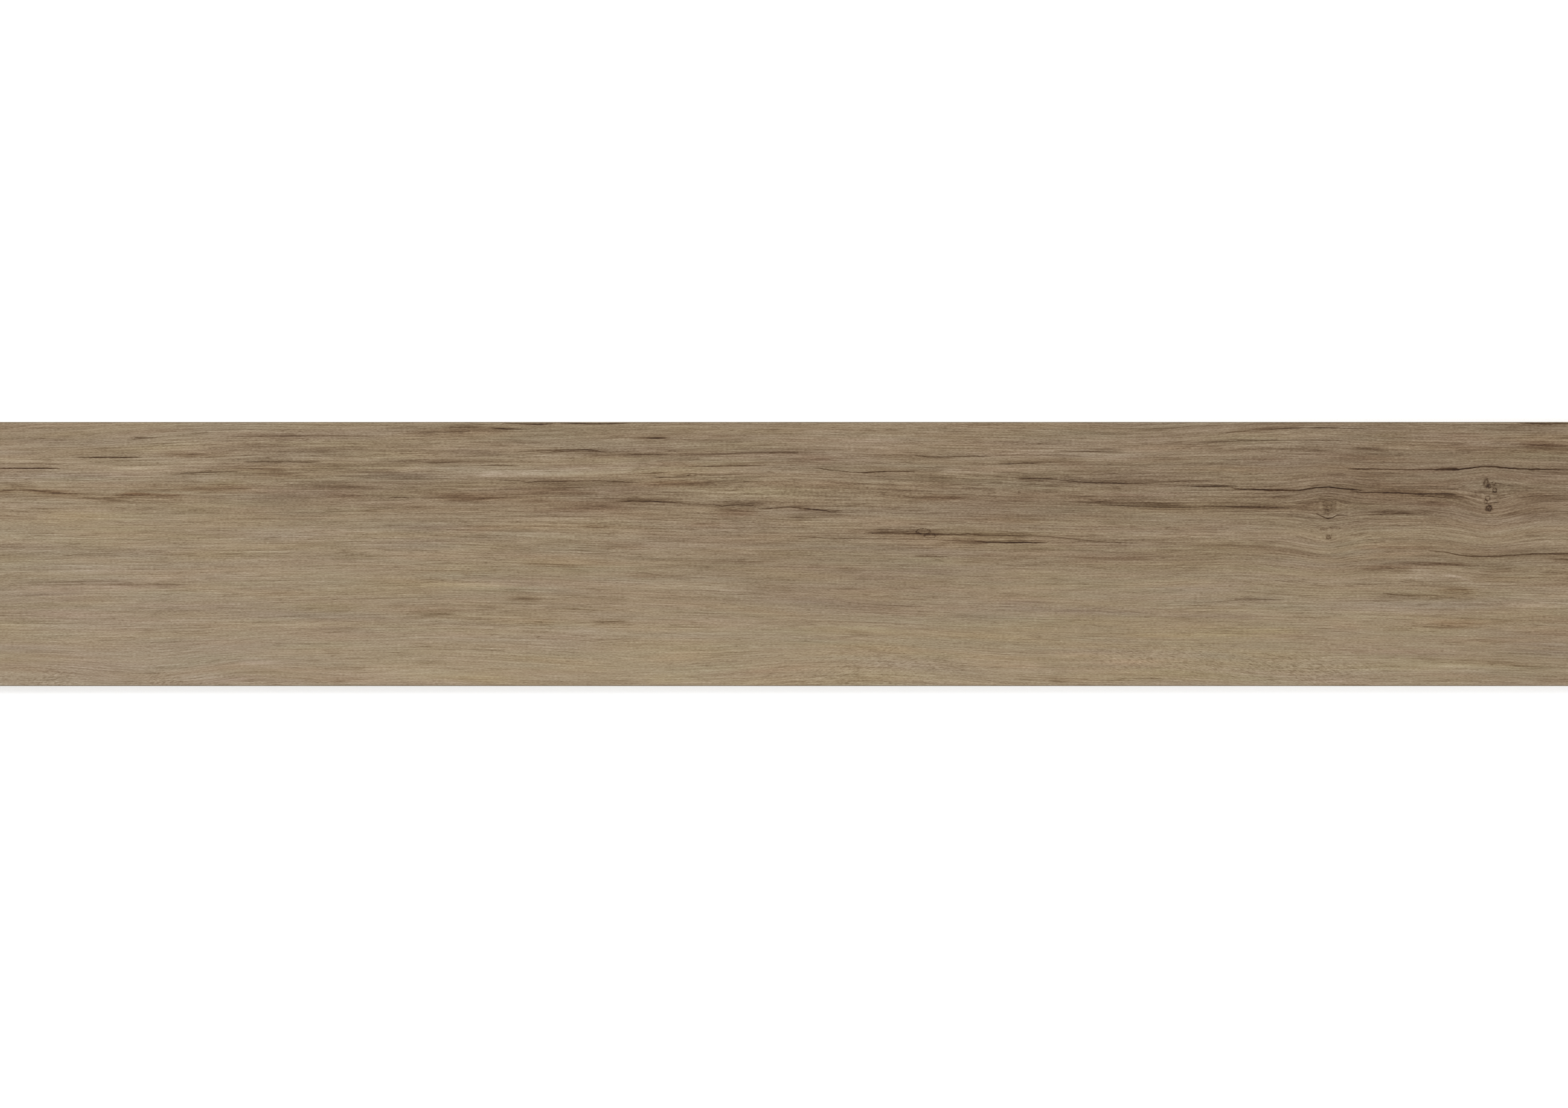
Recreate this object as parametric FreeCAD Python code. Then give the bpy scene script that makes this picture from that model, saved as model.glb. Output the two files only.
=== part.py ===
import FreeCAD
import Part

import math
import os

# Wood look porcelain plank tile, in millimetres.
# It is one pressed and fired piece with ground edges. X runs along the plank, Y across it and
# Z up through it, from the ribs of its back to its printed face. The origin is under the middle
# of the plank, on the plane that its ribs rest on.

# Driving dimensions of the plank
plank_length = 1200.0
plank_width = 200.0
plank_thickness = 9.0  # over the ribs of the back

# Edges: a fine ground bevel round the face, and a pressed slope round the back
face_bevel = 0.6
back_bevel = 1.2

# Keying pattern of the back: shallow pockets with ribs between them, inside a plain rim
rim_width = 6.0
rib_width = 2.4
rib_spacing = 32.0  # the wanted distance from rib to rib, rounded so that whole pockets fill the back
pocket_depth = 0.7
pocket_draft = 45.0  # slope of a pocket's walls, in degrees from upright
pocket_corner = 3.0  # how much is cut off each corner of a pocket, along both of its walls


def plank_blank():
    """The pressed body with its four square sides and both of its bevels."""
    corner = FreeCAD.Vector(-plank_length / 2, -plank_width / 2, 0)
    blank = Part.makeBox(plank_length, plank_width, plank_thickness, corner)
    face_edges = [edge for edge in blank.Edges if edge.BoundBox.ZMin > plank_thickness / 2]
    blank = blank.makeChamfer(face_bevel, face_edges)
    back_edges = [edge for edge in blank.Edges if edge.BoundBox.ZMax < plank_thickness / 2
                  and edge.BoundBox.ZLength < pocket_depth / 2]
    return blank.makeChamfer(back_bevel, back_edges)


def pockets_in(side):
    """How many pockets fit along one side of the back, and how long each is there."""
    room = side - 2 * (back_bevel + rim_width)
    count = max(1, round((room + rib_width) / rib_spacing))
    return count, (room - (count - 1) * rib_width) / count


def pocket(length, width):
    """One pocket as a solid: a low pyramid cut off flat, open side down, with its four corners cut."""
    draw_in = pocket_depth * math.tan(math.radians(pocket_draft))
    shape = Part.makeWedge(0, 0, 0, draw_in, draw_in,
                           length, pocket_depth, width, width - draw_in, length - draw_in)
    shape.rotate(FreeCAD.Vector(0, 0, 0), FreeCAD.Vector(1, 0, 0), 90)
    shape.translate(FreeCAD.Vector(-length / 2, width / 2, 0))
    slopes = [edge for edge in shape.Edges if edge.BoundBox.ZLength > pocket_depth / 2]
    return shape.makeChamfer(pocket_corner, slopes)


def pocket_grid():
    """Every pocket of the back, evenly spaced about the middle of the plank."""
    columns, length = pockets_in(plank_length)
    rows, width = pockets_in(plank_width)
    one = pocket(length, width)
    grid = []
    for column in range(columns):
        for row in range(rows):
            x = (column - (columns - 1) / 2) * (length + rib_width)
            y = (row - (rows - 1) / 2) * (width + rib_width)
            grid.append(one.translated(FreeCAD.Vector(x, y, 0)))
    return grid


def plank_tile():
    """The whole tile: the blank with the pockets pressed into its back."""
    return plank_blank().cut(Part.makeCompound(pocket_grid()))


os.makedirs("parts", exist_ok=True)
tile = plank_tile()
solid = tile.Solids[0]
solid.exportStep("parts/plank_tile.step")
print("plank_tile: %d solid, valid %s, %d faces, %.0f mm3" % (
    len(tile.Solids), solid.isValid(), len(solid.Faces), solid.Volume))
box = solid.optimalBoundingBox()
print("size %.1f x %.1f x %.1f mm" % (box.XLength, box.YLength, box.ZLength))
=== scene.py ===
import math

import bmesh
import bpy
import numpy as np
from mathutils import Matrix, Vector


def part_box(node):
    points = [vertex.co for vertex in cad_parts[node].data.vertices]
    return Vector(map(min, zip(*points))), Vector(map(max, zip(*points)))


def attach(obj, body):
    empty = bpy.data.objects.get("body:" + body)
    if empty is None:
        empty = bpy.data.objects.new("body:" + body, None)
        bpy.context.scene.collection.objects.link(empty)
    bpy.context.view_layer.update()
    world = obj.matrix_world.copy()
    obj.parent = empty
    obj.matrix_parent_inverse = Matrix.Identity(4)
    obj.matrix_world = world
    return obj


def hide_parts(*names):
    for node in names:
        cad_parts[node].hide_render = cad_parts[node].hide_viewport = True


# Wood look porcelain plank tile, lying flat with its printed face up.
# The scene is in metres. Everything drawn on the face is given in mm, with x along the plank from
# its middle, y across it from its middle and lightness from 0 to 255.

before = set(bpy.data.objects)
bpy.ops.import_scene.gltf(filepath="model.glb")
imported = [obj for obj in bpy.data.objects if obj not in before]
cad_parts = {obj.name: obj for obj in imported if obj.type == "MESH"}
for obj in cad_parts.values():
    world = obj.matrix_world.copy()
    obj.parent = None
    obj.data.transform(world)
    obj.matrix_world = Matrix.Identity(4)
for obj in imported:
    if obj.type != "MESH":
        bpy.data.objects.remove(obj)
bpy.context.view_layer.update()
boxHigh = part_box("plank_tile")[1]
print("frame loaded")

# How the grain bends round the two groups of knots, and where it arches at the lower edge: the
# middle in x, how far it reaches in x, and how far the lines are lifted at several heights
grainBends = [
    (534, 18, [(-26, 0), (-12, -1.2), (0, -3), (15, -5), (30, -7), (38, -6), (44, -3), (49, 0),
               (55, 2.5), (64, 3), (75, 1), (86, 0)]),
    (410, 15, [(-32, 0), (-20, -0.5), (-8, -2), (0, -4), (10, -5), (20, -3), (29, -3), (35, 0),
               (40, 2.2), (44, 3), (52, 2.4), (62, 1.5), (76, 0)]),
    (-400, 32, [(-116, 0), (-99, 4), (-90, 5), (-80, 3), (-64, 0)]),
]

# How the lines of the grain drift up and down along the plank: how far they are lifted at each of
# the places in x, at several heights
driftPlaces = [-600, -400, -260, -130, 0, 130, 260, 400, 600]
grainDrift = [
    (96, [-4, 3, 3, 2, 3, 2, -1, 2, 0]),
    (64, [-1, 2, 2, 2, 4, 1, -1, -1, -4]),
    (32, [0, 0, 0, -1, -4, -5, -6, -7, -9]),
    (0, [0, 1, 1, -2, -3, -5, -7, -8, -11]),
    (-32, [0, 1, 4, 1, -3, -6, -9, -11, -15]),
    (-64, [0, 2, 6, 2, 0, -7, -11, -13, -18]),
    (-96, [0, 0, 3, 0, 2, 0, -6, -12, -16]),
]
driftStep = 32  # between two of those heights

# Where the grain runs at a slant: the middle in x and y, its reach in x and y, and the slope
grainSlants = [
    (20, -90, 60, 14, 0.09),
    (325, 88, 60, 10, 0.05),
    (375, -14, 34, 16, -0.05),
    (-60, -84, 70, 10, 0.06),
    (-530, -88, 50, 9, -0.12),
    (330, -86, 50, 10, -0.08),
    (-490, 90, 60, 8, 0.04),
]

# Open cracks: the line, half its width and how dark it is
cracks = [
    ([(424, 64.4), (450, 64.3), (470, 63.8), (500, 64), (512, 64.1), (520, 65), (530, 66.4),
      (540, 65.8), (550, 64.9), (566, 64.2), (580, 64), (598, 63.4)], 0.42, 0.9),
    ([(484, 63.9), (500, 64), (512, 64.1), (520, 65), (530, 66.4), (540, 65.8), (550, 64.9),
      (566, 64.2), (584, 64)], 0.6, 1.0),
    ([(494, 64.9), (506, 65), (514, 65.4)], 0.3, 0.7),
    ([(336, 49.4), (360, 48.8), (375, 48.5), (390, 48.2), (396, 49.2), (403, 50.3), (412, 50.7),
      (422, 49.6), (432, 48.6), (440, 48.2)], 0.5, 1.0),
    ([(354, 48.7), (372, 48.2), (388, 48.1), (398, 48.9)], 0.72, 1.0),
    ([(399, 40.9), (406, 41.5), (413, 40.4), (421, 36.8)], 0.28, 0.4),
    ([(397, 43.6), (407, 44.5), (416, 43), (425, 40)], 0.25, 0.3),
    ([(426, 46.8), (447, 46.4), (466, 46.3), (474, 45.6), (500, 45.5), (516, 45)], 0.34, 0.85),
    ([(470, 44.4), (490, 43.4), (512, 42)], 0.3, 0.5),
    ([(436, 30), (452, 30), (464, 30.8), (484, 30.6)], 0.34, 0.5),
    ([(310, 36.4), (340, 36), (366, 35), (386, 34.4)], 0.34, 0.65),
    ([(418, 95), (432, 95.4), (446, 95)], 0.3, 0.4),
    ([(198, 57), (210, 56), (228, 54.2), (248, 53.6), (265, 53.2), (284, 53)], 0.34, 0.6),
    ([(283, 55), (296, 55), (313, 55.4), (328, 55.6)], 0.34, 0.65),
    ([(200, 78), (214, 77.9), (232, 77.5), (248, 77.4), (257, 77.8)], 0.34, 0.6),
    ([(304, 50.8), (322, 51.2), (334, 51.6), (346, 51.5)], 0.42, 0.85),
    ([(360, 43.2), (375, 43), (392, 43.2)], 0.3, 0.35),
    ([(235, 37.6), (260, 36.4), (280, 35.6), (300, 35.2), (320, 36), (340, 35.4), (378, 34.4)],
     0.3, 0.5),
    ([(18, 65.8), (26, 65), (33, 63.8), (52, 62), (63, 61.6), (78, 62.5), (86, 62.5),
      (104, 63)], 0.38, 0.75),
    ([(50, 62.1), (58, 61.8), (66, 61.8), (74, 62.4), (84, 62.7)], 0.48, 1.0),
    ([(94, 75.4), (102, 74.1), (113, 73.5), (127, 73.6), (144, 74), (160, 74.1)], 0.4, 0.8),
    ([(158, 74.2), (172, 74.7), (187, 75.3)], 0.3, 0.4),
    ([(158, 68), (170, 68.2), (180, 68.8), (200, 68.7)], 0.34, 0.6),
    ([(174, 57.3), (190, 57.1), (203, 56.9), (210, 56.1)], 0.42, 0.9),
    ([(117, 58.2), (126, 58), (134, 58.2)], 0.36, 0.5),
    ([(58, 16), (76, 16), (100, 15.5), (120, 15), (140, 15), (156, 14.2)], 0.46, 0.85),
    ([(130, 15), (150, 14.5), (200, 13.4), (225, 10.6), (245, 9), (275, 8)], 0.32, 0.55),
    ([(0, 14), (30, 12.2), (60, 11.6), (105, 11), (130, 10), (160, 9)], 0.3, 0.4),
    ([(140, 9.6), (158, 8.9), (178, 8.7), (202, 8.5)], 0.46, 0.95),
    ([(94, -1.8), (110, -2.1), (130, -2.2)], 0.34, 0.6),
    ([(-210, 77), (-177, 78.4), (-150, 79), (-136, 78)], 0.3, 0.6),
    ([(-76, 66), (-50, 66.5), (-30, 66.8), (-12, 67)], 0.4, 0.7),
    ([(-106, 58.4), (-85, 58), (-66, 59)], 0.32, 0.8),
    ([(-112, 60.6), (-92, 61)], 0.3, 0.6),
    ([(-79, 61), (-72, 61.2), (-60, 59.6), (-48, 59.6), (-40, 60.2), (-28, 60.6)], 0.3, 0.6),
    ([(-44, 76.6), (-10, 76.9), (16, 76.6)], 0.3, 0.6),
    ([(-122, 75.4), (-84, 75.4)], 0.3, 0.5),
    ([(-190, 76.4), (-160, 77.6), (-120, 77.2)], 0.3, 0.4),
    ([(-104, -53.6), (-96, -53.8)], 0.3, 0.4),
    ([(-91, -53.8), (-75, -54)], 0.3, 0.45),
    ([(-69, -54.2), (-63, -54.2)], 0.5, 0.5),
    ([(-200, 54), (-180, 55), (-138, 55.4), (-106, 54)], 0.38, 0.55),
    ([(-130, 39.9), (-100, 40), (-85, 39), (-75, 38), (-52, 37.1), (-45, 36), (-38, 37.4),
      (-18, 36.4)], 0.4, 0.65),
    ([(-24, 33.8), (-10, 34.5), (2, 35.6), (20, 34), (30, 33), (42, 31)], 0.42, 0.75),
    ([(-48, 33.6), (-28, 33.4)], 0.3, 0.5),
    ([(-538, 73), (-483, 73)], 0.42, 0.95),
    ([(-604, 64.9), (-590, 64.8), (-544, 64.8)], 0.4, 0.85),
    ([(-462, 60.8), (-436, 61.8), (-420, 62.3), (-408, 62.2)], 0.36, 0.7),
    ([(-495, 88), (-473, 87.9)], 0.38, 0.65),
    ([(-424, 88.8), (-376, 89.2), (-326, 89.5)], 0.34, 0.5),
    ([(-412, 69.9), (-348, 69.5)], 0.34, 0.8),
    ([(-604, 46), (-592, 47.4), (-580, 49.4), (-571, 48.8), (-560, 47), (-540, 45.8)], 0.5, 0.35),
    ([(-536, 43), (-520, 42), (-504, 42.4)], 0.5, 0.3),
    ([(-278, 92.2), (-236, 92.4)], 0.32, 0.75),
    ([(-260, 96), (-224, 95.6)], 0.4, 0.5),
    ([(-226, 95.8), (-210, 94.8), (-194, 94.2)], 0.45, 0.65),
    ([(-216, 99), (-200, 98.6), (-186, 98.3), (-172, 98.6)], 0.4, 0.8),
    ([(-172, 99.2), (-150, 98.6), (-134, 98.6), (-114, 99)], 0.4, 0.85),
    ([(554, 99), (570, 98.7), (582, 98.6), (600, 98.8)], 0.5, 0.85),
    ([(-106, 87.7), (-94, 87.5), (-86, 87.8)], 0.5, 0.55),
    ([(-234, 67.2), (-198, 66.8)], 0.32, 0.6),
    ([(-276, 69.2), (-256, 68.8)], 0.34, 0.55),
    ([(-218, 56), (-206, 55.7), (-196, 55.4)], 0.36, 0.75),
    ([(-302, 43), (-281, 42.9)], 0.34, 0.5),
    ([(-280, 69), (-256, 69.4), (-234, 70.4)], 0.3, 0.45),
    ([(-112, 53.9), (-84, 54)], 0.32, 0.5),
    ([(-102, 61.6), (-86, 61.6)], 0.4, 0.7),
    ([(316, 84.4), (332, 85), (346, 85.8), (376, 86.2)], 0.3, 0.5),
    ([(-336, 88.8), (-308, 89)], 0.3, 0.3),
    ([(-482, -23), (-446, -23)], 0.3, 0.45),
    ([(336, -33.9), (350, -34), (382, -35)], 0.4, 0.3),
    ([(450, -29.8), (468, -31), (486, -31.5), (506, -31.8)], 0.34, 0.5),
    ([(-190, -51.4), (-178, -51.3)], 0.34, 0.5),
    ([(-146, -51.6), (-128, -51.2), (-112, -51.6)], 0.34, 0.5),
    ([(484, 2.6), (500, 1.5), (510, -0.5), (520, -1.9), (540, -2), (548, -1.1), (560, -0.4),
      (574, 0.4), (584, 0), (600, 0.5)], 0.45, 0.7),
    ([(576, -3.8), (600, -4.2)], 0.45, 0.6),
    ([(400, 31.6), (403, 30.6), (407, 28.4), (411.5, 26.8), (415, 27.2), (418.5, 29.4), (430, 29)],
     0.42, 1.0),
    ([(529.5, 38.3), (534, 38.2), (537, 39.2), (541.5, 38.8)], 0.3, 0.7),
    ([(428, 80.8), (440, 80.2), (454, 80.4)], 0.35, 0.75),
    ([(324, 90.8), (350, 93.4), (366, 94.8)], 0.3, 0.6),
    ([(358, 94.2), (384, 95.2), (396, 95.4)], 0.4, 0.75),
    ([(366, 86), (400, 86.2), (432, 85.4)], 0.3, 0.4),
    ([(394, 95.4), (424, 95.6)], 0.4, 0.8),
    ([(36, -26.6), (68, -26.4)], 0.3, 0.3),
    ([(-60, -5.4), (-24, -5.4)], 0.3, 0.3),
]

# Streaks of the print: the line, half its width, the change of lightness, then how much redder
# and how much yellower it is (a negative yellow is a mauve grey)
streaks = [
    # upper left
    ([(-600, 46.4), (-590, 47), (-581, 49), (-573, 48.6), (-562, 47), (-538, 45.6), (-530, 43.4),
      (-507, 42.4), (-500, 44.2), (-493, 46.2), (-479, 47.2), (-462, 46.6), (-451, 48.4),
      (-434, 48.6), (-417, 49.5), (-392, 48.6)], 1.8, -22, 1.1, 0.1),
    ([(-508, 43), (-493, 45.6), (-479, 46.2), (-462, 46), (-446, 48)], 2.7, -9, 1, 0.1),
    ([(-514, 42.6), (-503, 43.2), (-496, 45.2), (-487, 46.8), (-474, 47)], 1.3, -13, 0.9, 0.1),
    ([(-508, 39.4), (-494, 39.4), (-480, 39.8)], 1.3, 7, 0, 0),
    ([(-474, 46.8), (-451, 48.2), (-430, 48.6), (-396, 49.2)], 1.6, -12, 0.5, 0.1),
    ([(-600, 65.6), (-570, 65), (-538, 64.5)], 1.4, -10, 0, -0.6),
    ([(-560, 73.4), (-530, 73), (-482, 73)], 1.2, -8, 0, -0.5),
    ([(-500, 88), (-475, 88)], 1.4, -9, 0, -0.3),
    ([(-476, 75.2), (-450, 75), (-430, 76), (-408, 76.5)], 1.7, -20, 0.5, 0.4),
    ([(-478, 61), (-440, 62), (-410, 63), (-390, 62.2), (-362, 61.4)], 1.8, -14, 0.3, 0),
    ([(-405, 62.8), (-388, 62), (-372, 61.5)], 1.6, -10, 0.6, 0),
    ([(-600, 93), (-560, 94), (-520, 94)], 3, -4, 0, 0.4),
    ([(-594, 86), (-560, 84), (-530, 85)], 3, -3, 0, -0.5),
    ([(-440, 88), (-380, 88.5), (-330, 88.6), (-290, 88)], 2.2, -8, 0, -0.6),
    ([(-420, 82), (-380, 81.4), (-340, 78.5), (-300, 77.4)], 2.8, -12, 0, -0.2),
    ([(-400, 70), (-370, 69.5)], 1.5, -6, 0, 0),
    ([(-372, 67), (-345, 66), (-318, 66)], 2, -10, 0.2, 0.7),
    ([(-305, 69.4), (-270, 69.6), (-235, 69), (-200, 67.6)], 1.8, -13, 0, -0.2),
    ([(-330, 60.6), (-290, 59.5), (-255, 60)], 2, -8, 0, -0.5),
    ([(-372, 54), (-345, 51.6), (-325, 50.6), (-305, 50)], 2.6, -10, 0.1, 0.2),
    ([(-420, 48), (-360, 48), (-300, 52), (-250, 52)], 6, -6, 0, -0.3),
    ([(-262, 54.6), (-230, 54.8), (-200, 54.8)], 1.5, -13, 0, 0),
    ([(-352, 46), (-335, 44.5), (-312, 43.5)], 2, -9, 1, -0.3),
    ([(-330, 34), (-300, 34), (-268, 37)], 3, -6, 0.6, 0.1),
    ([(-312, 43.4), (-290, 43)], 1.2, -11, 0, 0),
    ([(-282, 44), (-262, 44.6), (-240, 42.6), (-220, 43), (-200, 45.4), (-176, 48.4)],
     3.2, -15, 0.4, 0.1),
    ([(-274, 44), (-240, 43.4)], 1, -9, 0.2, 0),
    ([(-262, 40.8), (-214, 41)], 1, -8, 0.2, 0),
    ([(-262, 96), (-240, 95.6), (-215, 94.6), (-196, 95)], 2.2, -19, 0.4, 0),
    ([(-216, 95.6), (-200, 95)], 1, -16, 0, 0),
    ([(-300, 91.6), (-272, 92), (-240, 92.8)], 2, -9, 0.7, 0.1),
    ([(-265, 78), (-225, 76.6), (-200, 76.5)], 2, -8, 0, -0.4),
    ([(-268, 15), (-240, 15.4), (-214, 13)], 2.3, -11, 1, 0.1),
    ([(-240, 19), (-200, 17.5)], 2, -7, 0.6, 0.1),
    ([(-400, 28.5), (-365, 28), (-335, 28)], 2.6, -6, 0, -0.5),
    ([(-470, 34), (-430, 33)], 2.4, -4, 0, 0.3),
    ([(-420, 26), (-380, 33), (-330, 38)], 8, -5, 0, 0),
    ([(-440, 55), (-405, 54.5)], 2.5, -7, 0, 0.6),
    ([(-600, 70.4), (-560, 70.2), (-528, 69)], 1.8, 8, 0, 0),
    ([(-520, 66), (-480, 65), (-450, 66), (-424, 67.4)], 2.6, 12, 0, 0.2),
    ([(-495, 79), (-462, 82), (-436, 82.5)], 3, 11, 0, 0.1),
    ([(-300, 63), (-255, 63.3), (-200, 62.6)], 2.6, 11, 0, -0.2),
    ([(-335, 73), (-285, 73.6), (-250, 74)], 1.8, 6, 0, 0.3),
    ([(-390, 84), (-340, 84.5), (-290, 82.5)], 1.6, 6, 0, 0.2),
    ([(-600, 12), (-540, 12.4), (-490, 11)], 1.8, 5, 0, 0.3),
    ([(-570, 29), (-520, 27), (-470, 28)], 4, 3, 0, 0.5),
    ([(-600, 56), (-520, 58), (-480, 55)], 3, 3, 0, -0.4),
    # upper middle
    ([(-204, 96.4), (-188, 97.6), (-172, 98.2)], 1.6, -22, 0.2, 0),
    ([(-200, 98.8), (-186, 99), (-174, 99)], 0.9, -18, 0, 0),
    ([(-172, 98.8), (-150, 99), (-132, 99)], 0.9, -18, 0, 0),
    ([(-118, 88.6), (-104, 88), (-84, 88.6)], 1.3, -15, 0.4, 0.2),
    ([(-60, 89.2), (-45, 88.6), (-30, 88)], 1.1, -10, 0.3, 0.1),
    ([(-45, 86.8), (-30, 87)], 1, -8, 0.3, 0.1),
    ([(-204, 77.6), (-176, 78.4), (-150, 78.4), (-128, 77.4)], 1.5, -9, 0.3, 0),
    ([(-160, 76.6), (-110, 76.2), (-60, 76.6), (-10, 76.6), (40, 77)], 2.1, -10, 0.1, -0.3),
    ([(-124, 75), (-108, 75)], 0.8, -8, 0, 0),
    ([(-105, 75.4), (-84, 75.4)], 0.8, -8, 0, 0),
    ([(-62, 76.2), (0, 76.8), (30, 77)], 0.8, -9, 0, 0),
    ([(-104, 69.4), (-80, 69), (-56, 68)], 1.6, -9, 1, 0),
    ([(-66, 67), (-44, 66.6), (-18, 67), (0, 69)], 1.3, -8, 0.1, 0.1),
    ([(-50, 66.9), (-34, 67), (-18, 67.2)], 1.0, -13, 0.1, 0.1),
    ([(-18, 70.6), (-8, 70.6)], 0.7, -10, 0, 0),
    ([(0, 70.6), (20, 72), (44, 71)], 1.8, -9, 0.9, -0.2),
    ([(26, 64.6), (46, 62.6), (66, 61.8), (84, 62.6), (112, 63.2), (125, 62)], 1.3, -6, 0, 0),
    ([(-206, 57), (-180, 56), (-140, 55.6), (-106, 54)], 1.8, -6, 0.1, -0.2),
    ([(-192, 50.4), (-170, 51), (-150, 49)], 2.3, -17, 0.7, 0.1),
    ([(-206, 44.6), (-186, 46), (-168, 46.6), (-146, 46)], 2.4, -17, 0.8, 0.1),
    ([(-162, 46), (-138, 46.4)], 1.4, -9, 0.4, 0.2),
    ([(-112, 52), (-92, 52.6), (-66, 53), (-40, 54)], 1.7, -17, 0.6, 0.1),
    ([(-50, 54.2), (-10, 54.2), (10, 54)], 1.3, -9, 0.5, 0.2),
    ([(-205, 38.5), (-175, 38), (-140, 36.6), (-110, 35)], 3.8, -13, 0.8, -0.1),
    ([(-205, 30.5), (-170, 30), (-140, 31)], 3, -6, 0.2, -0.4),
    ([(-134, 39.2), (-108, 39.8), (-86, 39.4), (-64, 38)], 2, -13, 0.1, 0.1),
    ([(-70, 38), (-50, 37.8), (-34, 38), (-16, 37.6), (-2, 37)], 2.6, -17, 0.1, -0.1),
    ([(-52, 34), (-34, 33), (-16, 33)], 2, -10, 0.6, -0.1),
    ([(-6, 36), (10, 35.4), (24, 33), (38, 31), (60, 29.6)], 2, -12, 0.2, 0),
    ([(-60, 30), (-38, 30), (-16, 29.6)], 2, -8, 0.9, 0),
    ([(16, 52.8), (40, 53.6), (62, 53)], 1.9, -9, 1, -0.1),
    ([(58, 49), (80, 48), (110, 47)], 2.6, -8, 0.1, -0.1),
    ([(60, 57), (95, 57.4), (130, 56)], 3, -8, 0, 0),
    ([(96, 43), (118, 44), (142, 43.4)], 1.8, -12, 0.8, 0),
    ([(124, 43.6), (142, 42)], 1, -9, 0.5, 0),
    ([(148, 41), (176, 42.6), (206, 43)], 1.9, -14, 0.9, 0),
    ([(170, 57), (188, 57), (206, 56.8)], 1.9, -13, 0, 0),
    ([(120, 58), (170, 57)], 2.4, -3, 0, -0.2),
    ([(183, 55), (200, 55)], 0.8, -10, 0, 0),
    ([(76, 76), (104, 75), (125, 74.4), (155, 74.6), (185, 74)], 1.3, -9, 0.1, -0.1),
    ([(120, 84.6), (160, 84.4), (196, 84.6)], 1.4, -11, 0, -0.2),
    ([(145, 68), (172, 67.8), (206, 68.2)], 1.3, -11, 0, 0),
    ([(180, 68.9), (202, 68.8), (226, 67.6)], 1.1, -10, 0.3, 0),
    ([(102, 58.8), (122, 58.2), (134, 58)], 1.1, -9, 0, 0),
    ([(128, 56), (142, 56), (154, 56.8)], 1.1, -8, 0, 0),
    ([(115, 42.8), (140, 42.8)], 0.9, -9, 0.6, 0),
    ([(164, 41.4), (186, 41.8)], 0.9, -9, 0.4, 0),
    ([(175, 47), (183, 47)], 0.9, -8, 0.2, 0),
    ([(134, 97.4), (152, 97), (160, 97)], 1.4, -9, 0.2, 0.1),
    ([(0, 93), (60, 91)], 2, 3, 0, -0.3),
    ([(130, 25.2), (165, 25.4), (206, 25.6)], 2, -9, 0.5, 0.4),
    ([(-158, 21.8), (-140, 20), (-118, 20.4)], 1.8, -12, 0.8, 0.1),
    ([(-118, 19.6), (-98, 20)], 1.4, -7, 0.5, 0.1),
    ([(-80, 22.6), (-52, 22), (-40, 21)], 1.6, -7, 0.5, 0.1),
    ([(-206, 18), (-186, 19)], 1.8, -9, 0.5, 0.1),
    ([(-120, 14), (-90, 13.6), (-60, 14)], 2, -4, 0, -0.2),
    ([(-160, 4), (-144, 6), (-120, 6), (-96, 5)], 1.9, -14, 0.8, 0.1),
    ([(0, 13), (24, 13.6), (46, 12.6), (70, 14)], 1.7, -9, 0, -0.1),
    ([(10, 13.2), (30, 13.2), (54, 12.2)], 1.2, -10, 0.1, 0),
    ([(58, 15.4), (80, 15.6), (100, 15.6), (124, 14.6)], 1.8, -23, 0.3, -0.1),
    ([(92, 15.6), (106, 15.2), (124, 14.4)], 1.8, -12, 0.3, -0.1),
    ([(130, 15.6), (165, 15.6), (206, 14.6)], 1.4, -8, 0, 0.5),
    ([(114, 12), (134, 10.6), (150, 9.8), (166, 9.4)], 1.6, -15, 0.8, 0),
    ([(158, 9.6), (178, 9), (204, 8.6)], 1.6, -15, 0.4, 0),
    ([(140, 13), (190, 12)], 1.6, -9, 0.2, 0.5),
    ([(-240, 61), (-206, 62.2), (-170, 62.8), (-130, 62.6), (-100, 62)], 2.5, 13, 0, -0.2),
    ([(-76, 49), (-44, 46), (0, 47), (34, 46)], 3.6, 11, 0, 0.4),
    ([(-70, 62.6), (-20, 62.8), (10, 61)], 1.6, 5, 0, 0.1),
    ([(-110, 26), (-80, 26.4), (-50, 25)], 2, 2, 0, 0.3),
    ([(-206, 26.4), (-150, 26), (-100, 26.6)], 2, 4, 0, 0.2),
    ([(30, 25.6), (60, 26), (110, 23)], 3.4, 4, 0, 0.3),
    ([(106, 64.6), (140, 64.4), (180, 63)], 2.2, 5, 0, -0.2),
    ([(-206, 72.6), (-150, 73), (-110, 71)], 1.8, 4, 0, 0.1),
    ([(-206, 86), (-160, 85.4), (-100, 84)], 2, 4, 0, -0.2),
    ([(40, 86), (80, 88), (130, 91)], 3, 5, 0, -0.3),
    ([(-110, 95), (-60, 95.6), (-10, 94)], 2, 4, 0, 0.2),
    # upper right
    ([(194, 57.4), (222, 55.8), (250, 55), (290, 55)], 1.7, -9, 0, -0.2),
    ([(292, 52.4), (320, 52), (344, 51.6)], 1.4, -8, 0, -0.2),
    ([(338, 50.4), (356, 49.2), (376, 48.6), (394, 49.4)], 1.4, -10, 0, -0.3),
    ([(392, 49.8), (404, 51), (418, 50.6), (436, 48.8), (452, 47.8)], 1.5, -12, 0.1, 0.1),
    ([(440, 48), (466, 46.4), (490, 45.2), (520, 44)], 1.9, -15, 0.4, 0),
    ([(474, 44.8), (500, 43.8), (528, 42)], 1.5, -20, 0.4, 0),
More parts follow.
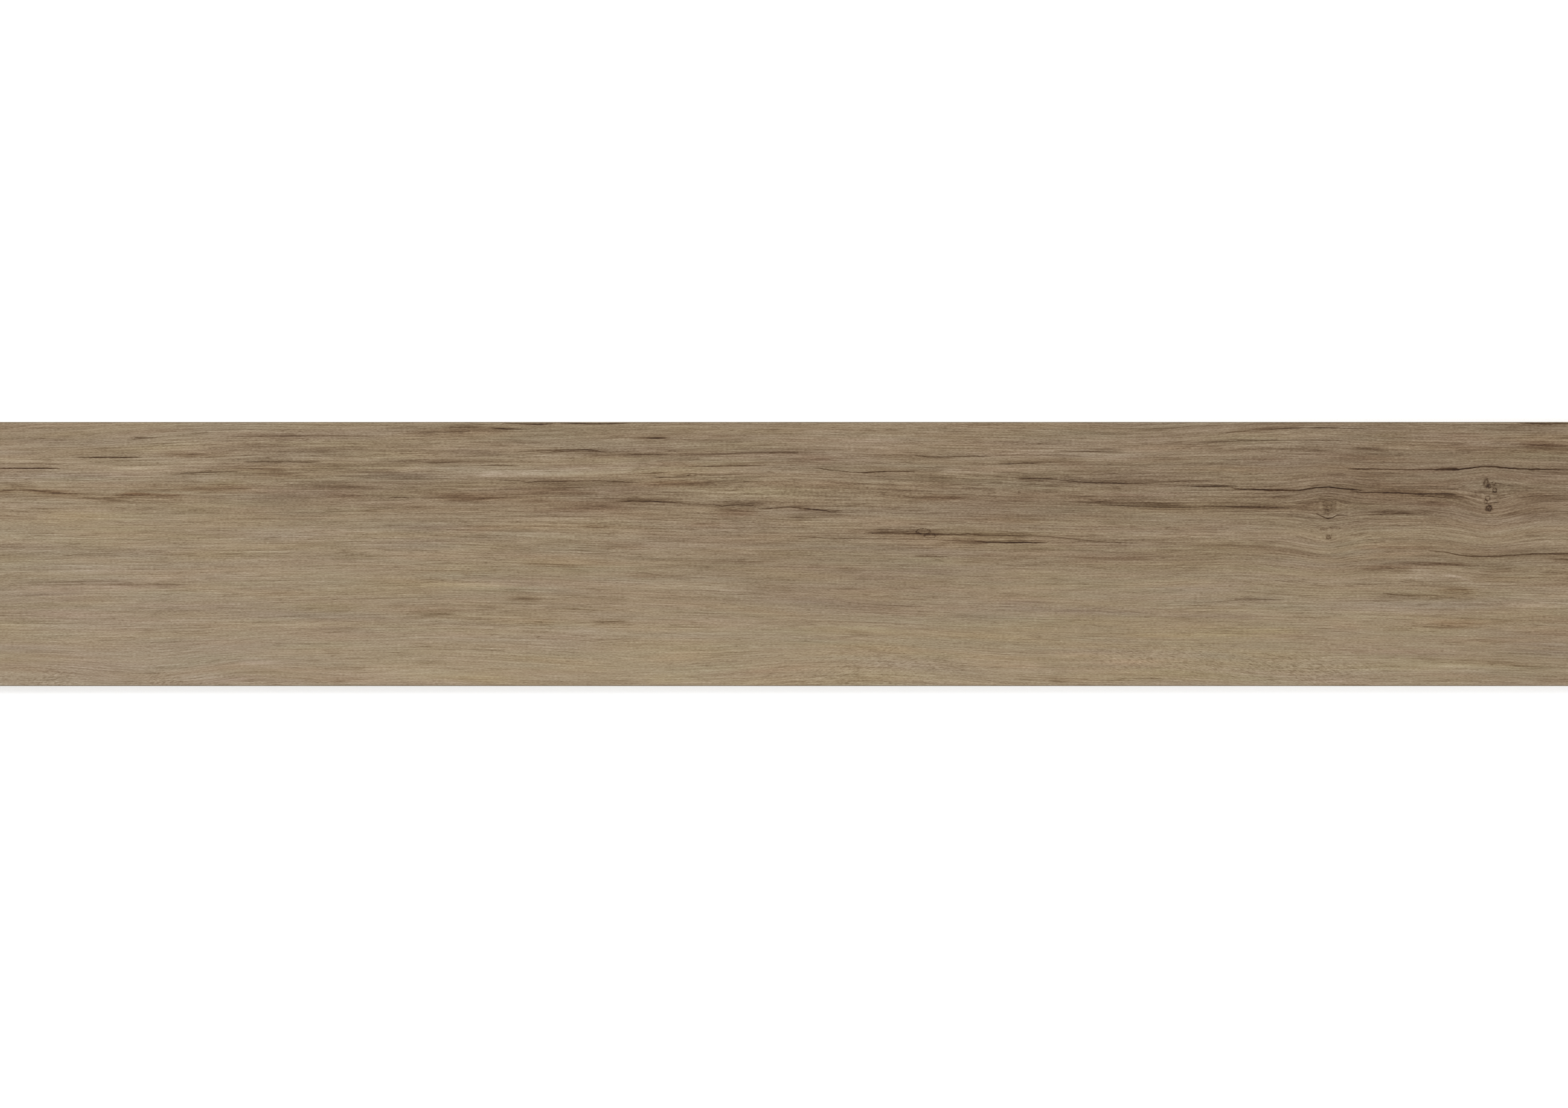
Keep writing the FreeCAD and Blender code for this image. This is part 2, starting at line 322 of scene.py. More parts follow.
    ([(196, 43), (226, 42.4), (244, 40.6)], 1.6, -13, 0.4, 0),
    ([(222, 39.6), (250, 38.6), (272, 37.4), (300, 36.6), (340, 35.8), (386, 34.6)],
     2.3, -19, 0.2, 0.1),
    ([(238, 40.6), (282, 39.6), (300, 39)], 1.6, -8, 0.2, 0.2),
    ([(236, 45.4), (280, 45), (318, 44)], 2, -6, 1, -0.3),
    ([(318, 41), (350, 42.6), (390, 43)], 1.5, -11, 0.6, 0),
    ([(384, 40), (400, 37), (412, 33)], 5, -8, 0.6, -0.4),
    ([(424, 65), (452, 64), (480, 64), (496, 64)], 1, -4, 0, -0.3),
    ([(488, 64.2), (512, 64.6), (534, 66.4), (552, 65.4), (574, 64.6)], 1.1, -8, 0, -0.2),
    ([(560, 64.4), (600, 64)], 1, -5, 0, -0.1),
    ([(428, 56.6), (446, 57), (462, 54)], 2.6, -9, 0.6, 0.3),
    ([(438, 52.6), (456, 52), (474, 51)], 2.2, -8, 0.7, 0.1),
    ([(470, 53), (500, 51), (520, 50)], 3, -9, 0.6, 0),
    ([(395, 45), (430, 42), (470, 38)], 4, -9, 0.3, -0.2),
    ([(476, 38.6), (492, 38), (508, 36.5)], 2.4, -11, 0.9, 0),
    ([(404, 30), (414, 28.6), (428, 30)], 2.2, -7, 0.2, -0.2),
    ([(438, 30), (456, 30.8), (470, 30.6), (488, 30)], 1, -10, 0.1, 0),
    ([(428, 31.4), (452, 32), (500, 31.6)], 1.8, -7, 0.2, 0),
    ([(538, 30.4), (560, 30.2), (576, 30.8), (590, 30)], 1.5, -24, 0.7, 0),
    ([(556, 33), (590, 33)], 2.4, -8, 0.7, 0),
    ([(552, 42), (570, 42), (584, 41), (600, 39.6)], 2.2, -30, 0.1, 0),
    ([(548, 46), (566, 46), (590, 44)], 2.6, -9, 0.7, 0),
    ([(548, 81), (566, 82.4), (584, 81.6), (600, 81)], 2.6, -18, 1, 0.1),
    ([(554, 82.2), (570, 82.6), (588, 82)], 1.5, -12, 0.7, 0.1),
    ([(560, 78.4), (572, 78)], 1, -14, 0.6, 0),
    ([(576, 76), (600, 77)], 2, -10, 0.8, 0),
    ([(552, 99), (572, 99.2), (598, 99)], 0.9, -20, 0, 0),
    ([(538, 96.4), (560, 97), (588, 97.4)], 2, -12, 0.3, 0),
    ([(498, 89.6), (516, 89), (536, 89.6)], 1.8, -9, 0.5, 0),
    ([(440, 91), (480, 90)], 3, -3, 0.2, 0.6),
    ([(280, 72), (300, 71.6), (316, 70)], 1.7, -10, 0, 0),
    ([(340, 72.6), (364, 73), (388, 72)], 1.8, -10, 1, -0.1),
    ([(204, 68), (226, 67), (240, 66)], 1.8, -8, 0.8, -0.1),
    ([(306, 68.4), (320, 68)], 0.9, -8, 0, 0),
    ([(210, 78), (240, 78.6), (268, 79.6)], 0.9, -8, 0, -0.2),
    ([(288, 82), (310, 83.6), (326, 85), (346, 86), (378, 86)], 0.9, -10, 0, -0.2),
    ([(252, 93), (302, 94)], 1.1, -8, 0, 0),
    ([(330, 93.6), (362, 94.6), (402, 95.6)], 1.2, -18, 0.3, 0.1),
    ([(346, 97), (376, 97.4), (404, 97)], 1.8, -9, 0.6, 0.2),
    ([(200, 94), (240, 95), (270, 96)], 2.4, -4, 0, 0.4),
    ([(218, 90.4), (242, 90.6)], 0.9, -7, 0, 0),
    ([(196, 12.6), (224, 11), (244, 9.2), (272, 8)], 1.6, -9, 0.1, 0.1),
    ([(196, 7.6), (230, 6), (270, 5.4)], 2.2, -7, 0.2, 0),
    ([(262, 8), (300, 7), (334, 6), (358, 5.2)], 1.5, -12, 0.3, 0.1),
    ([(340, 5.4), (366, 4.6), (386, 2), (400, -0.6), (412, -1.8), (426, -0.4)], 1.5, -15, 0.7, 0),
    ([(426, 3), (450, 4.4), (480, 4.4), (502, 3)], 1.9, -10, 0.9, 0.1),
    ([(436, -1), (470, 0), (494, 0)], 1.6, -6, 0.7, 0.1),
    ([(492, 2), (512, -0.6), (530, -2), (548, -1.4), (566, 0.4), (600, 0.6)], 1.2, -6, 0.2, 0),
    ([(566, 0.4), (582, 0), (600, -1.6)], 1.5, -5, 0.1, 0),
    ([(572, -3.6), (600, -4.4)], 1.4, -8, 0, 0),
    ([(470, 83), (500, 80), (530, 80)], 2, -4, 0.1, 0.2),
    ([(428, 80.4), (448, 80.2), (462, 79.6)], 1.8, -15, 0, 0),
    ([(400, 76), (440, 74), (480, 75)], 3, -4, 0, 0.1),
    ([(398, 60), (430, 61), (470, 60)], 3, -4, 0, -0.4),
    ([(196, 74), (240, 73), (284, 75)], 2, 8, 0, -0.5),
    ([(330, 90), (370, 91.4), (404, 92)], 1.7, 6, 0, 0),
    ([(204, 84), (250, 84), (280, 86)], 2, 4, 0, 0.2),
    ([(200, 62), (250, 62), (300, 62)], 2.4, 3, 0, -0.2),
    ([(196, 9.7), (210, 9.7), (222, 9.5)], 0.8, 10, 0, 0),
    ([(320, 60), (360, 59), (400, 61)], 2.6, 3, 0, 0),
    ([(206, 21), (260, 20), (330, 18)], 4, 1, 0.6, 0.2),
    ([(430, 22), (480, 20), (520, 16), (560, 17), (600, 18)], 4, 5, 0, 0.1),
    ([(496, 9), (540, 6), (600, 9)], 3, 7, 0, 0.1),
    ([(540, 57), (560, 56.6), (600, 58)], 1.6, 3, 0, -0.2),
    ([(466, 70), (520, 70), (560, 71)], 2.6, 3, 0, 0),
    ([(504, 46), (516, 48), (524, 47)], 3, 9, 0, 0),
    ([(392, 83.4), (420, 84), (470, 84.6)], 1.4, 4, 0, 0),
    # lower left
    ([(-600, -21.4), (-560, -22), (-520, -22.6), (-480, -23.4), (-446, -24)], 2, -10, 0, -0.6),
    ([(-600, -30), (-560, -30.4), (-520, -31)], 4, -6, 0, -0.8),
    ([(-600, -40), (-560, -39)], 2, -3, 0, 0),
    ([(-376, -39), (-346, -41), (-316, -41)], 2.6, -7, 0, 0.3),
    ([(-288, -43), (-264, -44.6), (-244, -44)], 1.8, -15, 0.2, 0.1),
    ([(-214, -32.2), (-200, -32.8), (-180, -33.6)], 2.3, -20, 0.5, 0.1),
    ([(-206, -32.2), (-190, -33)], 1.3, -14, 0, 0),
    ([(-232, -40), (-220, -40)], 1, -8, 0, 0),
    ([(-256, -50), (-216, -51.4), (-190, -51)], 1.8, -9, 0.6, 0.1),
    ([(-300, -38), (-262, -39.6), (-240, -38)], 2.4, -5, 0, 0),
    ([(-412, -87.6), (-396, -88.8), (-372, -89)], 1.8, -7, 0, 0),
    ([(-350, -84.6), (-328, -85.6), (-306, -86)], 1.8, -7, 0, 0.2),
    ([(-366, -80.4), (-348, -80.4)], 0.9, -6, 0, 0),
    ([(-282, -83), (-250, -83.6)], 1.6, -6, 0, 0.2),
    ([(-348, -74), (-330, -74)], 0.6, -7, 0, 0),
    ([(-350, -3), (-322, -3.4), (-294, -2)], 3, -6, 0, 0.4),
    ([(-245, -15), (-238, -15.4)], 1, -9, 0.9, 0),
    ([(-250, -17), (-226, -18.6)], 1.6, -5, 0.4, 0.1),
    ([(-600, -66), (-572, -66), (-548, -67)], 2, -6, 0, 0),
    ([(-600, -79), (-560, -78), (-530, -79)], 2.4, -6, 0, 0.3),
    ([(-600, -46), (-560, -46.4)], 1.6, -3, 0, 0),
    ([(-364, -56), (-334, -57), (-300, -59)], 2, -6, 0, -0.6),
    ([(-470, -56), (-420, -57)], 1.6, -3, 0, 0),
    ([(-380, -47), (-330, -48)], 2, -4, 0, -0.3),
    ([(-214, -66), (-196, -66)], 2, -4, 0, 0),
    ([(-500, -4), (-460, -3), (-400, -4)], 2, -3, 0, 0.1),
    ([(-600, -3), (-560, -4)], 2, -3, 0, 0.2),
    ([(-288, -24), (-240, -23.4), (-200, -24)], 2.2, 9, 0, 0.1),
    ([(-600, -13.6), (-545, -13.4), (-480, -13.6)], 1, 5, 0, 0),
    ([(-590, -25.6), (-540, -25.4), (-480, -26)], 0.9, 5, 0, -0.2),
    ([(-515, -50), (-400, -50)], 1, 5, 0, 0),
    ([(-420, -80), (-385, -83), (-350, -84)], 3, 6, 0, -0.6),
    ([(-300, -92), (-200, -92)], 5, 4, 0, 0.6),
    ([(-470, -95), (-400, -94), (-350, -96)], 3, 4, 0, -0.7),
    ([(-600, -56), (-540, -57), (-500, -60)], 3, 3, 0, 0.4),
    # lower middle
    ([(-206, -6.6), (-172, -8), (-150, -10)], 1.7, -10, 0.5, 0.1),
    ([(-170, -9.6), (-154, -9.6)], 0.8, -8, 0.2, 0),
    ([(-114, -5), (-80, -5.4), (-40, -6.2), (4, -6.4)], 1.3, -9, 0.4, 0.1),
    ([(-128, -15), (-108, -16.6), (-84, -15.2), (-62, -16)], 1.5, -9, 0.8, 0.1),
    ([(-82, -15.4), (-62, -15.6)], 0.7, -7, 0.2, 0),
    ([(-172, -20), (-150, -22)], 1, -6, 0, 0.1),
    ([(-24, -24), (2, -27), (14, -28)], 1.7, -6, 0.2, 0.2),
    ([(36, -26.4), (68, -26.6)], 1.1, -6, 0, 0),
    ([(-4, -35), (26, -36), (50, -38.6), (90, -42.6), (116, -46)], 2.8, -9, 0, -0.6),
    ([(6, -33.6), (48, -35)], 1.6, -6, 0, -0.4),
    ([(112, -45), (150, -45.6), (206, -46)], 2.2, -5, 0, -0.5),
    ([(-200, -51), (-170, -51.4)], 1.5, -9, 0.6, 0.2),
    ([(-148, -51.6), (-112, -52)], 1.2, -11, 0.1, 0.2),
    ([(-104, -54), (-86, -54), (-64, -54.4)], 0.7, -7, 0, 0),
    ([(-180, -41), (-144, -42), (-118, -41)], 1.5, -6, 0, 0.4),
    ([(-168, -34.4), (-160, -34.6)], 0.8, -7, 0, 0),
    ([(-130, -33.6), (-118, -33.6)], 0.8, -7, 0, 0),
    ([(158, -35), (206, -39)], 4, -5, 0.1, -0.7),
    ([(34, -8), (50, -11), (64, -12)], 3, -5, 0, 0.2),
    ([(74, -9.6), (98, -11.6)], 1.3, -7, 0, 0),
    ([(94, -1.8), (120, -2.2)], 1.1, -9, 0.2, 0),
    ([(124, -4), (160, -3), (206, -5)], 3, -6, 0.4, 0),
    ([(146, -0.6), (164, -1)], 1.4, -7, 1, -0.2),
    ([(30, 5), (80, 4), (130, 3)], 3.4, -4, 0.2, -0.2),
    ([(40, -19), (90, -18), (140, -19)], 5, -4, 0.1, -0.5),
    ([(80, -53), (94, -53)], 0.7, -5, 0, 0),
    ([(80, -61), (100, -61)], 0.7, -5, 0, 0),
    ([(-60, -99), (-40, -97), (-10, -93)], 1, -5, 0, 0),
    ([(-34, -88), (-6, -87), (30, -84)], 2, 3, 0.8, 0),
    ([(-110, -80), (-80, -76), (-50, -72)], 4, 4, 0.5, 0),
    ([(-160, -22), (-110, -23.6), (-56, -26), (-20, -30)], 2.6, 8, 0, 0),
    ([(-206, -29), (-170, -28)], 1.6, 5, 0, 0),
    ([(-170, -57), (-130, -60)], 3, 4, 0, -0.3),
    ([(14, -55), (60, -56), (100, -60)], 3, 4, 0, 0.6),
    ([(116, -74), (150, -84), (206, -86)], 4, 4, 0.7, 0),
    ([(-110, -95), (-60, -92)], 3, 4, 0, 0.6),
    ([(120, -24), (160, -27), (206, -26)], 3, 4, 0, 0),
    ([(-100, 0), (-50, 0.6), (-6, 1)], 1.7, 3, 0, -0.4),
    # lower right
    ([(478, -84), (504, -85), (548, -85.6)], 1.6, 8, 0, 0.1),
    ([(428, -9.4), (446, -9.8), (470, -9), (500, -7), (530, -8.4)], 2.1, -15, 0.7, 0),
    ([(436, -9.8), (462, -9.2)], 1.1, -10, 0.3, 0),
    ([(484, -8.2), (518, -7.4)], 1.6, -4, 0.4, 0),
    ([(210, -1), (240, -3), (284, -3)], 2.4, -8, 0.6, 0.1),
    ([(330, -34), (356, -34.2), (384, -35.2)], 1.9, -11, 0, -0.5),
    ([(318, -20), (348, -20.4)], 1, -6, 0, -0.3),
    ([(436, -30.6), (466, -31), (494, -32)], 1.7, -13, 0, -0.6),
    ([(486, -32), (512, -33)], 1, -10, 0, -0.2),
    ([(490, -27), (512, -27.6), (528, -30)], 1.9, -11, 0.4, 0.4),
    ([(520, -14), (560, -18), (600, -15)], 4.6, -9, 0.7, 0.3),
    ([(536, -22), (600, -22)], 2, -5, 0.3, 0.1),
    ([(484, -52), (510, -53.4), (540, -50.4), (572, -50), (600, -52)], 1.9, -8, 0.7, 0.2),
    ([(508, -50), (526, -52)], 0.9, -9, 0.2, 0),
    ([(528, -57), (546, -57)], 1, -8, 0, 0),
    ([(546, -59.6), (600, -61)], 1.5, -9, 0.3, 0.1),
    ([(196, -43), (240, -43), (296, -45.6), (370, -48)], 1.7, -8, 0, -0.7),
    ([(440, -76), (520, -75)], 2.6, -5, 0, -0.6),
    ([(500, -78.6), (540, -81), (562, -85.4), (584, -89)], 1.5, -8, 0.1, 0.1),
    ([(560, -95), (600, -96)], 2.4, -8, 0.4, 0.1),
    ([(530, -69), (600, -72)], 4, -4, 0, -0.8),
    ([(370, -19), (402, -20)], 2, -7, 0, -0.2),
    ([(400, -36), (440, -37)], 2.4, -4, 0, 0),
    ([(470, -80), (500, -79)], 1.6, -5, 0, 0),
    ([(400, -84), (440, -86)], 2, -3, 0, 0),
    ([(470, -11.4), (484, -11.6), (494, -13)], 1.4, 22, 0, -0.8),
    ([(494, -14), (508, -17), (524, -22)], 1, 16, 0, -0.4),
    ([(440, -15), (480, -17), (500, -21)], 2.6, 5, 0, 0.2),
    ([(470, -88), (500, -86), (545, -87)], 2.4, 9, 0, -0.1),
    ([(540, -38), (600, -37)], 3, 6, 0, 0),
    ([(250, -60), (330, -62), (400, -58)], 4, 4, 0, 0.8),
    ([(200, -80), (260, -82), (320, -79)], 5, 4, 0.7, 0.1),
    ([(200, -92), (280, -94)], 3, 3, 0, 0.4),
    ([(260, -24), (320, -26), (360, -24)], 3, 4, 0, -0.7),
    ([(410, -46), (460, -45), (490, -48)], 3, 5, 0, 0.4),
    ([(410, -55), (440, -57)], 3, 0, 0.9, -0.2),
    ([(556, -98), (600, -99)], 1, 5, 0, 0),
]

# Broad tones under all of it: the middle, the reach in x and y, the change of lightness, the
# redness and the yellowness
zones = [
    (420, 75, 260, 34, -12, 0.1, -0.4),
    (60, 55, 170, 26, -8, 0.1, -0.2),
    (-180, 42, 70, 14, -6, 0.6, 0),
    (-290, 60, 90, 30, -7, 0, -0.1),
    (560, 50, 120, 30, -4, 0.2, -0.2),
    (470, 36, 90, 14, -5, 0.3, -0.2),
    (120, 0, 120, 14, -5, 0.2, -0.1),
    (-520, -20, 110, 60, 2, 0, -0.2),
    (-500, 20, 130, 30, 3, 0, 0.4),
    (-470, -80, 150, 26, 2, 0, -0.5),
    (0, -80, 300, 30, 3, 0.1, 0.3),
    (560, -60, 90, 50, -4, 0.1, -0.4),
    (290, -65, 130, 30, 2, 0.1, 0.5),
    (80, -25, 130, 20, -4, 0, -0.4),
    (-450, -14, 130, 8, 7, 0, 0),
    (-215, 55, 35, 14, 9, 0, 0),
    (-200, 30, 50, 8, 6, 0, 0),
    (-260, 6, 60, 8, 4, 0, 0),
    (40, 90, 45, 8, 5, 0, 0),
    (330, 88, 60, 8, 5, 0, 0),
    (200, 76, 130, 8, 5, 0, 0),
    (16, 61, 24, 6, 7, 0, 0),
    (-110, 60, 45, 6, 5, 0, 0),
    (168, 71, 27, 8, 5, 0, 0),
    (250, 60, 34, 6, -4, 0, 0),
    (78, 89, 26, 6, 4, 0, 0),
    (-268, 77, 28, 5, 4, 0, 0),
    (-384, 91, 27, 5, 5, 0, 0),
    (-513, 61, 33, 5, -5, 0, 0),
    (256, 77, 46, 6, 5, 0, 0),
    (555, 0, 45, 6, -13, 0, 0),
    (330, -60, 80, 10, -6, 0, 0),
    (200, -80, 120, 14, -4, 0, 0),
    (230, -92, 60, 8, -3, 0, 0),
    (-75, -58, 30, 6, 5, 0, 0),
    (70, -12, 60, 14, 3, 0, 0),
    (-540, 47, 60, 6, -1, 0, 0),
    (222, 32, 30, 6, -8, 0, 0),
    (420, 48, 170, 12, -4, 0, 0),
    (130, 32, 50, 10, -3, 0, 0),
    (-470, 45, 40, 6, -6, 0, 0),
    (450, 45, 50, 6, -4, 0, 0),
    (-118, 44, 26, 6, -4, 0, 0),
    (-28, 31, 21, 6, -4, 0, 0),
    (564, 31, 30, 6, -6, 0, 0),
    (-326, 14.6, 31, 5.4, 4, 0, 0),
    (-399, 16, 44, 6, 5, 0, 0),
    (278, -1, 33, 6, -7, 0, 0),
    (366, 1, 30, 5, -5, 0, 0),
    (198, -15, 34, 6, 5, 0, 0),
    (470, -16, 60, 7, -4, 0, 0),
    (575, -24, 28, 11, 5, 0, 0),
    (-80, -22, 30, 10, 4, 0, 0),
    (490, -30, 34, 6, -4, 0, 0),
    (-474, -31, 30, 5, 4, 0, 0),
    (-463, -46, 27, 6, -4, 0, 0),
    (-300, -45, 50, 6, -4, 0, 0),
    (-395, -90, 40, 7, -4, 0, 0),
    (560, -86, 40, 11, -5, 0, 0),
    (460, 50, 120, 20, 0, 0, -0.12),
    (-570, 77, 40, 10, 0, 0, -0.7),
    (350, 92, 120, 8, 0, 0.1, 0.2),
    (430, 12, 130, 10, 0, 0.16, 0.25),
    (80, -24, 200, 14, 0, 0.05, 0.3),
    (-500, -30, 110, 6, 0, 0, -0.35),
    (-480, -47, 110, 6, 0, 0, 0.35),
    (-350, -75, 250, 10, 0, 0, 0.2),
    (60, -75, 80, 10, 0, 0.05, 0.25),
    (110, -90, 70, 8, 0, 0.3, 0.5),
    (520, -92, 70, 10, 0, 0.1, 0.35),
    (520, -60, 70, 8, 0, 0.1, 0.2),
    (-320, 92, 160, 8, 0, 0.16, 0),
    (200, 6, 130, 9, 0, 0.14, 0),
    (-60, 30, 120, 7, 0, -0.14, 0),
    (-165, 30, 30, 5, 4, 0, 0),
    (-572, 18, 34, 6, 0, -0.05, 0.35),
    (-544, 32, 40, 6, 1, -0.2, -0.2),
    (-200, 91, 70, 7, 0, 0.2, 0),
    (570, 90, 26, 6, -4, 0, 0),
    (20, 52, 90, 13, 0, 0, -0.15),
    (350, 14, 50, 7, 0, 0.05, 0.5),
    (450, -13, 44, 7, 0, 0.15, 0.6),
    (-221, 61, 20, 5, -3, 0, 0),
    (556, 1, 44, 6, -3, 0.1, 0),
    (-427, 76, 30, 5, -4, 0, 0),
    (-50, -32, 100, 7, 0, 0, 0.15),
    (100, 30, 40, 6, 0, 0, 0.2),
    (300, -92, 60, 7, 0, 0, -0.2),
]

# Speckled rings of the knots: the middle, the radius, the stretch across the plank, the width of
# the ring and how dark the ring and its inside are
knots = [
    (531.4, 53.6, 1.5, 1.8, 0.7, 30, 17),
    (533.6, 51.2, 1.0, 1.2, 0.6, 34, 20),
    (537, 53.4, 1.3, 1.0, 0.35, 26, 4),
    (538, 48.3, 1.5, 1.0, 0.45, 50, 8),
    (532.6, 42.2, 1.7, 1.1, 0.4, 30, 4),
    (531, 39.6, 1.2, 1.0, 0.4, 24, 4),
    (533.4, 34.8, 2.1, 0.9, 0.9, 44, 34),
    (412, 12.7, 1.5, 0.8, 0.8, 29, 18),
    (416, 14.4, 1.6, 0.35, 0.5, 16, 6),
    (408.6, 19, 2.6, 0.3, 0.5, 22, 8),
    (417, 19.8, 3.6, 0.22, 0.5, 30, 10),
    (409.8, 37.7, 1.6, 1.0, 0.9, 14, 9),
    (412.4, 35, 1.9, 1.1, 1.0, 13, 4),
    (410.6, 31.6, 1.5, 1.2, 0.9, 13, 7),
    (415.6, 36.8, 1.4, 1.5, 1.0, 8, 7),
    (178, 47, 0.8, 0.8, 0.6, 14, 12),
    (105.4, 17.1, 5.2, 0.36, 0.7, 33, -5),
    (110.4, 13.5, 4.2, 0.34, 0.7, 28, -5),
]

# Patches of silver fleck, where the grain is crossed by fine ripples: the middle and the reach
flecks = [
    (75, -82, 44, 12),
    (280, -78, 50, 9),
    (400, -88, 40, 8),
    (-550, -95, 14, 6),
    (-470, -95, 14, 6),
]

# Calm places, where the grain is fine and even: the middle, the reach and how calm it is
calmPlaces = [
    (0, -72, 900, 10, 0.3),
    (0, 94, 900, 7, 0.2),
    (190, -24, 120, 9, 0.6),
    (400, -66, 180, 14, 0.3),
    (250, -54, 160, 9, 0.3),
    (-520, -16, 90, 12, 0.35),
    (-540, 26, 90, 10, 0.45),
    (300, 26, 60, 7, 0.3),
    (-360, 42, 40, 7, 0.35),
    (-380, -6, 50, 8, 0.3),
    (470, 8, 110, 9, 0.25),
    (-130, 40, 40, 7, 0.3),
    (500, 72, 40, 7, 0.35),
    (-480, 90, 120, 8, 0.35),
    (50, -14, 110, 10, 0.35),
    (50, 90, 50, 7, 0.25),
    (360, 70, 50, 7, 0.25),
    (150, 40, 40, 7, 0.3),
    (-390, -72, 60, 8, 0.2),
]

fieldSize = (640, 560)  # how many values a random field has along the plank and across it
fieldStep = (2.0, 0.4)  # and how far apart they are
facePrint = dict(
    baseLightness=126.4,
    lowerHalfLightening=7,  # from the middle of the plank to its lower edge
    leftLightening=-2,
    # the random parts of the grain, each with its seed, its reach along and across, and its amount
    liftGrain=[(11, 70, 10, 0.7)],
    streakBreakUp=[(21, 14, 0.6, 0.4)],
    streakWander=[(22, 16, 2.5, 0.5)],
    redGrain=[(31, 40, 4, 0.12), (33, 18, 1.6, 0.32)],
    yellowGrain=[(32, 60, 5, 0.15), (34, 22, 2, 0.34)],
    mediumGrain=[(41, 9, 0.4, 1.5), (42, 20, 0.9, 1.2), (43, 40, 2.2, 0.9), (44, 90, 6, 0.8)],
    mediumSkew=0.18,  # makes its dark lines deeper than its pale ones are high
    dashGrain=[(51, 13, 0.55, 1)],
    dashStart=1.3,  # only the highest places of that field make a dash
    dashes=4.5,
    streakSpread=1.25,  # how far a streak's soft edge reaches, in half widths
    streakFade=22,  # the longest run over which a line comes up at its end
    crackFade=11,
    fadeShare=0.35,  # the largest share of a line's length that such a run takes
    openEnd=599,  # a line that reaches this far in x goes on over the plank's end
    crackReach=1.6,  # how far from its line a crack's darkness ends
    crackEdge=0.6,  # and over how much of that it fades
    grooveReach=0.7,
    lowerHalfCalm=0.3,
    calmLimit=0.85,
    reliefDepth=0.05,  # of the brushed grain, in mm
    crackDepth=0.3,
)


def grainField(seed, reachX, reachY):
    # a smooth random field over the plank
    rough = np.random.default_rng(seed).standard_normal((fieldSize[1], fieldSize[0]))
    alongX = np.fft.fftfreq(fieldSize[0], fieldStep[0])[None, :] * reachX
    alongY = np.fft.fftfreq(fieldSize[1], fieldStep[1])[:, None] * reachY
    softening = np.exp(-2 * math.pi ** 2 * (alongX ** 2 + alongY ** 2))
    soft = np.fft.ifft2(np.fft.fft2(rough) * softening).real
    return soft / soft.std()


def fieldAt(field, x, y):
    # the field's value at each point, between its nearest four
    column = x / fieldStep[0] + fieldSize[0] / 2
    row = y / fieldStep[1] + fieldSize[1] / 2
    left, low = np.floor(column).astype(int), np.floor(row).astype(int)
    shareX, shareY = column - left, row - low
    high, wide = field.shape

    def pick(r, c):
        return field[r % high, c % wide]
    lower = pick(low, left) * (1 - shareX) + pick(low, left + 1) * shareX
    upper = pick(low + 1, left) * (1 - shareX) + pick(low + 1, left + 1) * shareX
    return lower * (1 - shareY) + upper * shareY


def grainOf(name, x, y):
    # the random parts of that name, added up
    return sum(amount * fieldAt(grainField(seed, reachX, reachY), x, y)
               for seed, reachX, reachY, amount in facePrint[name])


def smoothStep(value):
    value = np.clip(value, 0, 1)
    return value * value * (3 - 2 * value)


def nearTo(place, x, y):
    # 1 in the middle of a place, and less the further away
    middleX, middleY, reachX, reachY = place
    return np.exp(-0.5 * (((x - middleX) / reachX) ** 2 + ((y - middleY) / reachY) ** 2))


def alongLine(points, x, longestFade):
    # the height of a line at each x, and how strong it is there: it fades towards its free ends
    lineX, lineY = np.array(points).T
    fade = min(longestFade, facePrint["fadeShare"] * (lineX[-1] - lineX[0]))
    start = 1 if lineX[0] <= -facePrint["openEnd"] else smoothStep((x - lineX[0]) / fade)
    end = 1 if lineX[-1] >= facePrint["openEnd"] else smoothStep((lineX[-1] - x) / fade)
    return np.interp(x, lineX, lineY), start * end


def liftOfGrain(x, y):
    lift = grainOf("liftGrain", x, y)
    for height, lifted in grainDrift:
        lift += np.interp(x, driftPlaces, lifted) * smoothStep(1 - np.abs(y - height) / driftStep)
    for middle, reach, heights in grainBends:
        at, lifted = np.array(heights).T
        lift += np.interp(y, at, lifted, 0, 0) * np.exp(-0.5 * ((x - middle) / reach) ** 2)
    for *place, slope in grainSlants:
        lift += slope * (x - place[0]) * nearTo(place, x, y)
    return lift


def drawTones(x, y, label):
    # the broad tones and the streaks
    breakUp = grainOf("streakBreakUp", x, label)
    wander = grainOf("streakWander", x, label)
    lightness = facePrint["baseLightness"] + facePrint["lowerHalfLightening"] * smoothStep(-y / 90)
    lightness = lightness + facePrint["leftLightening"] * np.clip(-x / 600, -1, 1)
    shade = np.zeros_like(x)
    red = grainOf("redGrain", x, label)
    yellow = grainOf("yellowGrain", x, label)
    for *place, change, redder, yellower in zones:
        near = nearTo(place, x, y)
        lightness += change * near
        red += redder * near
        yellow += yellower * near
    for points, halfWidth, change, redder, yellower in streaks:
        centre, strength = alongLine(points, x, facePrint["streakFade"])
        spread = facePrint["streakSpread"] * halfWidth
        share = strength * np.exp(-(((y + wander - centre) / spread) ** 2))
        share = share * np.clip(1 + breakUp, 0, 2)
        # a broad dark streak is mostly an even tone, and a narrow one a bundle of dark fibres
        soft = min(0.8, 0.12 + halfWidth / 4.5) if change < 0 else 1
        lightness += soft * change * share
        shade += (1 - soft) * change * share
        red += redder * share
        yellow += yellower * share
    return lightness, shade, red, yellow


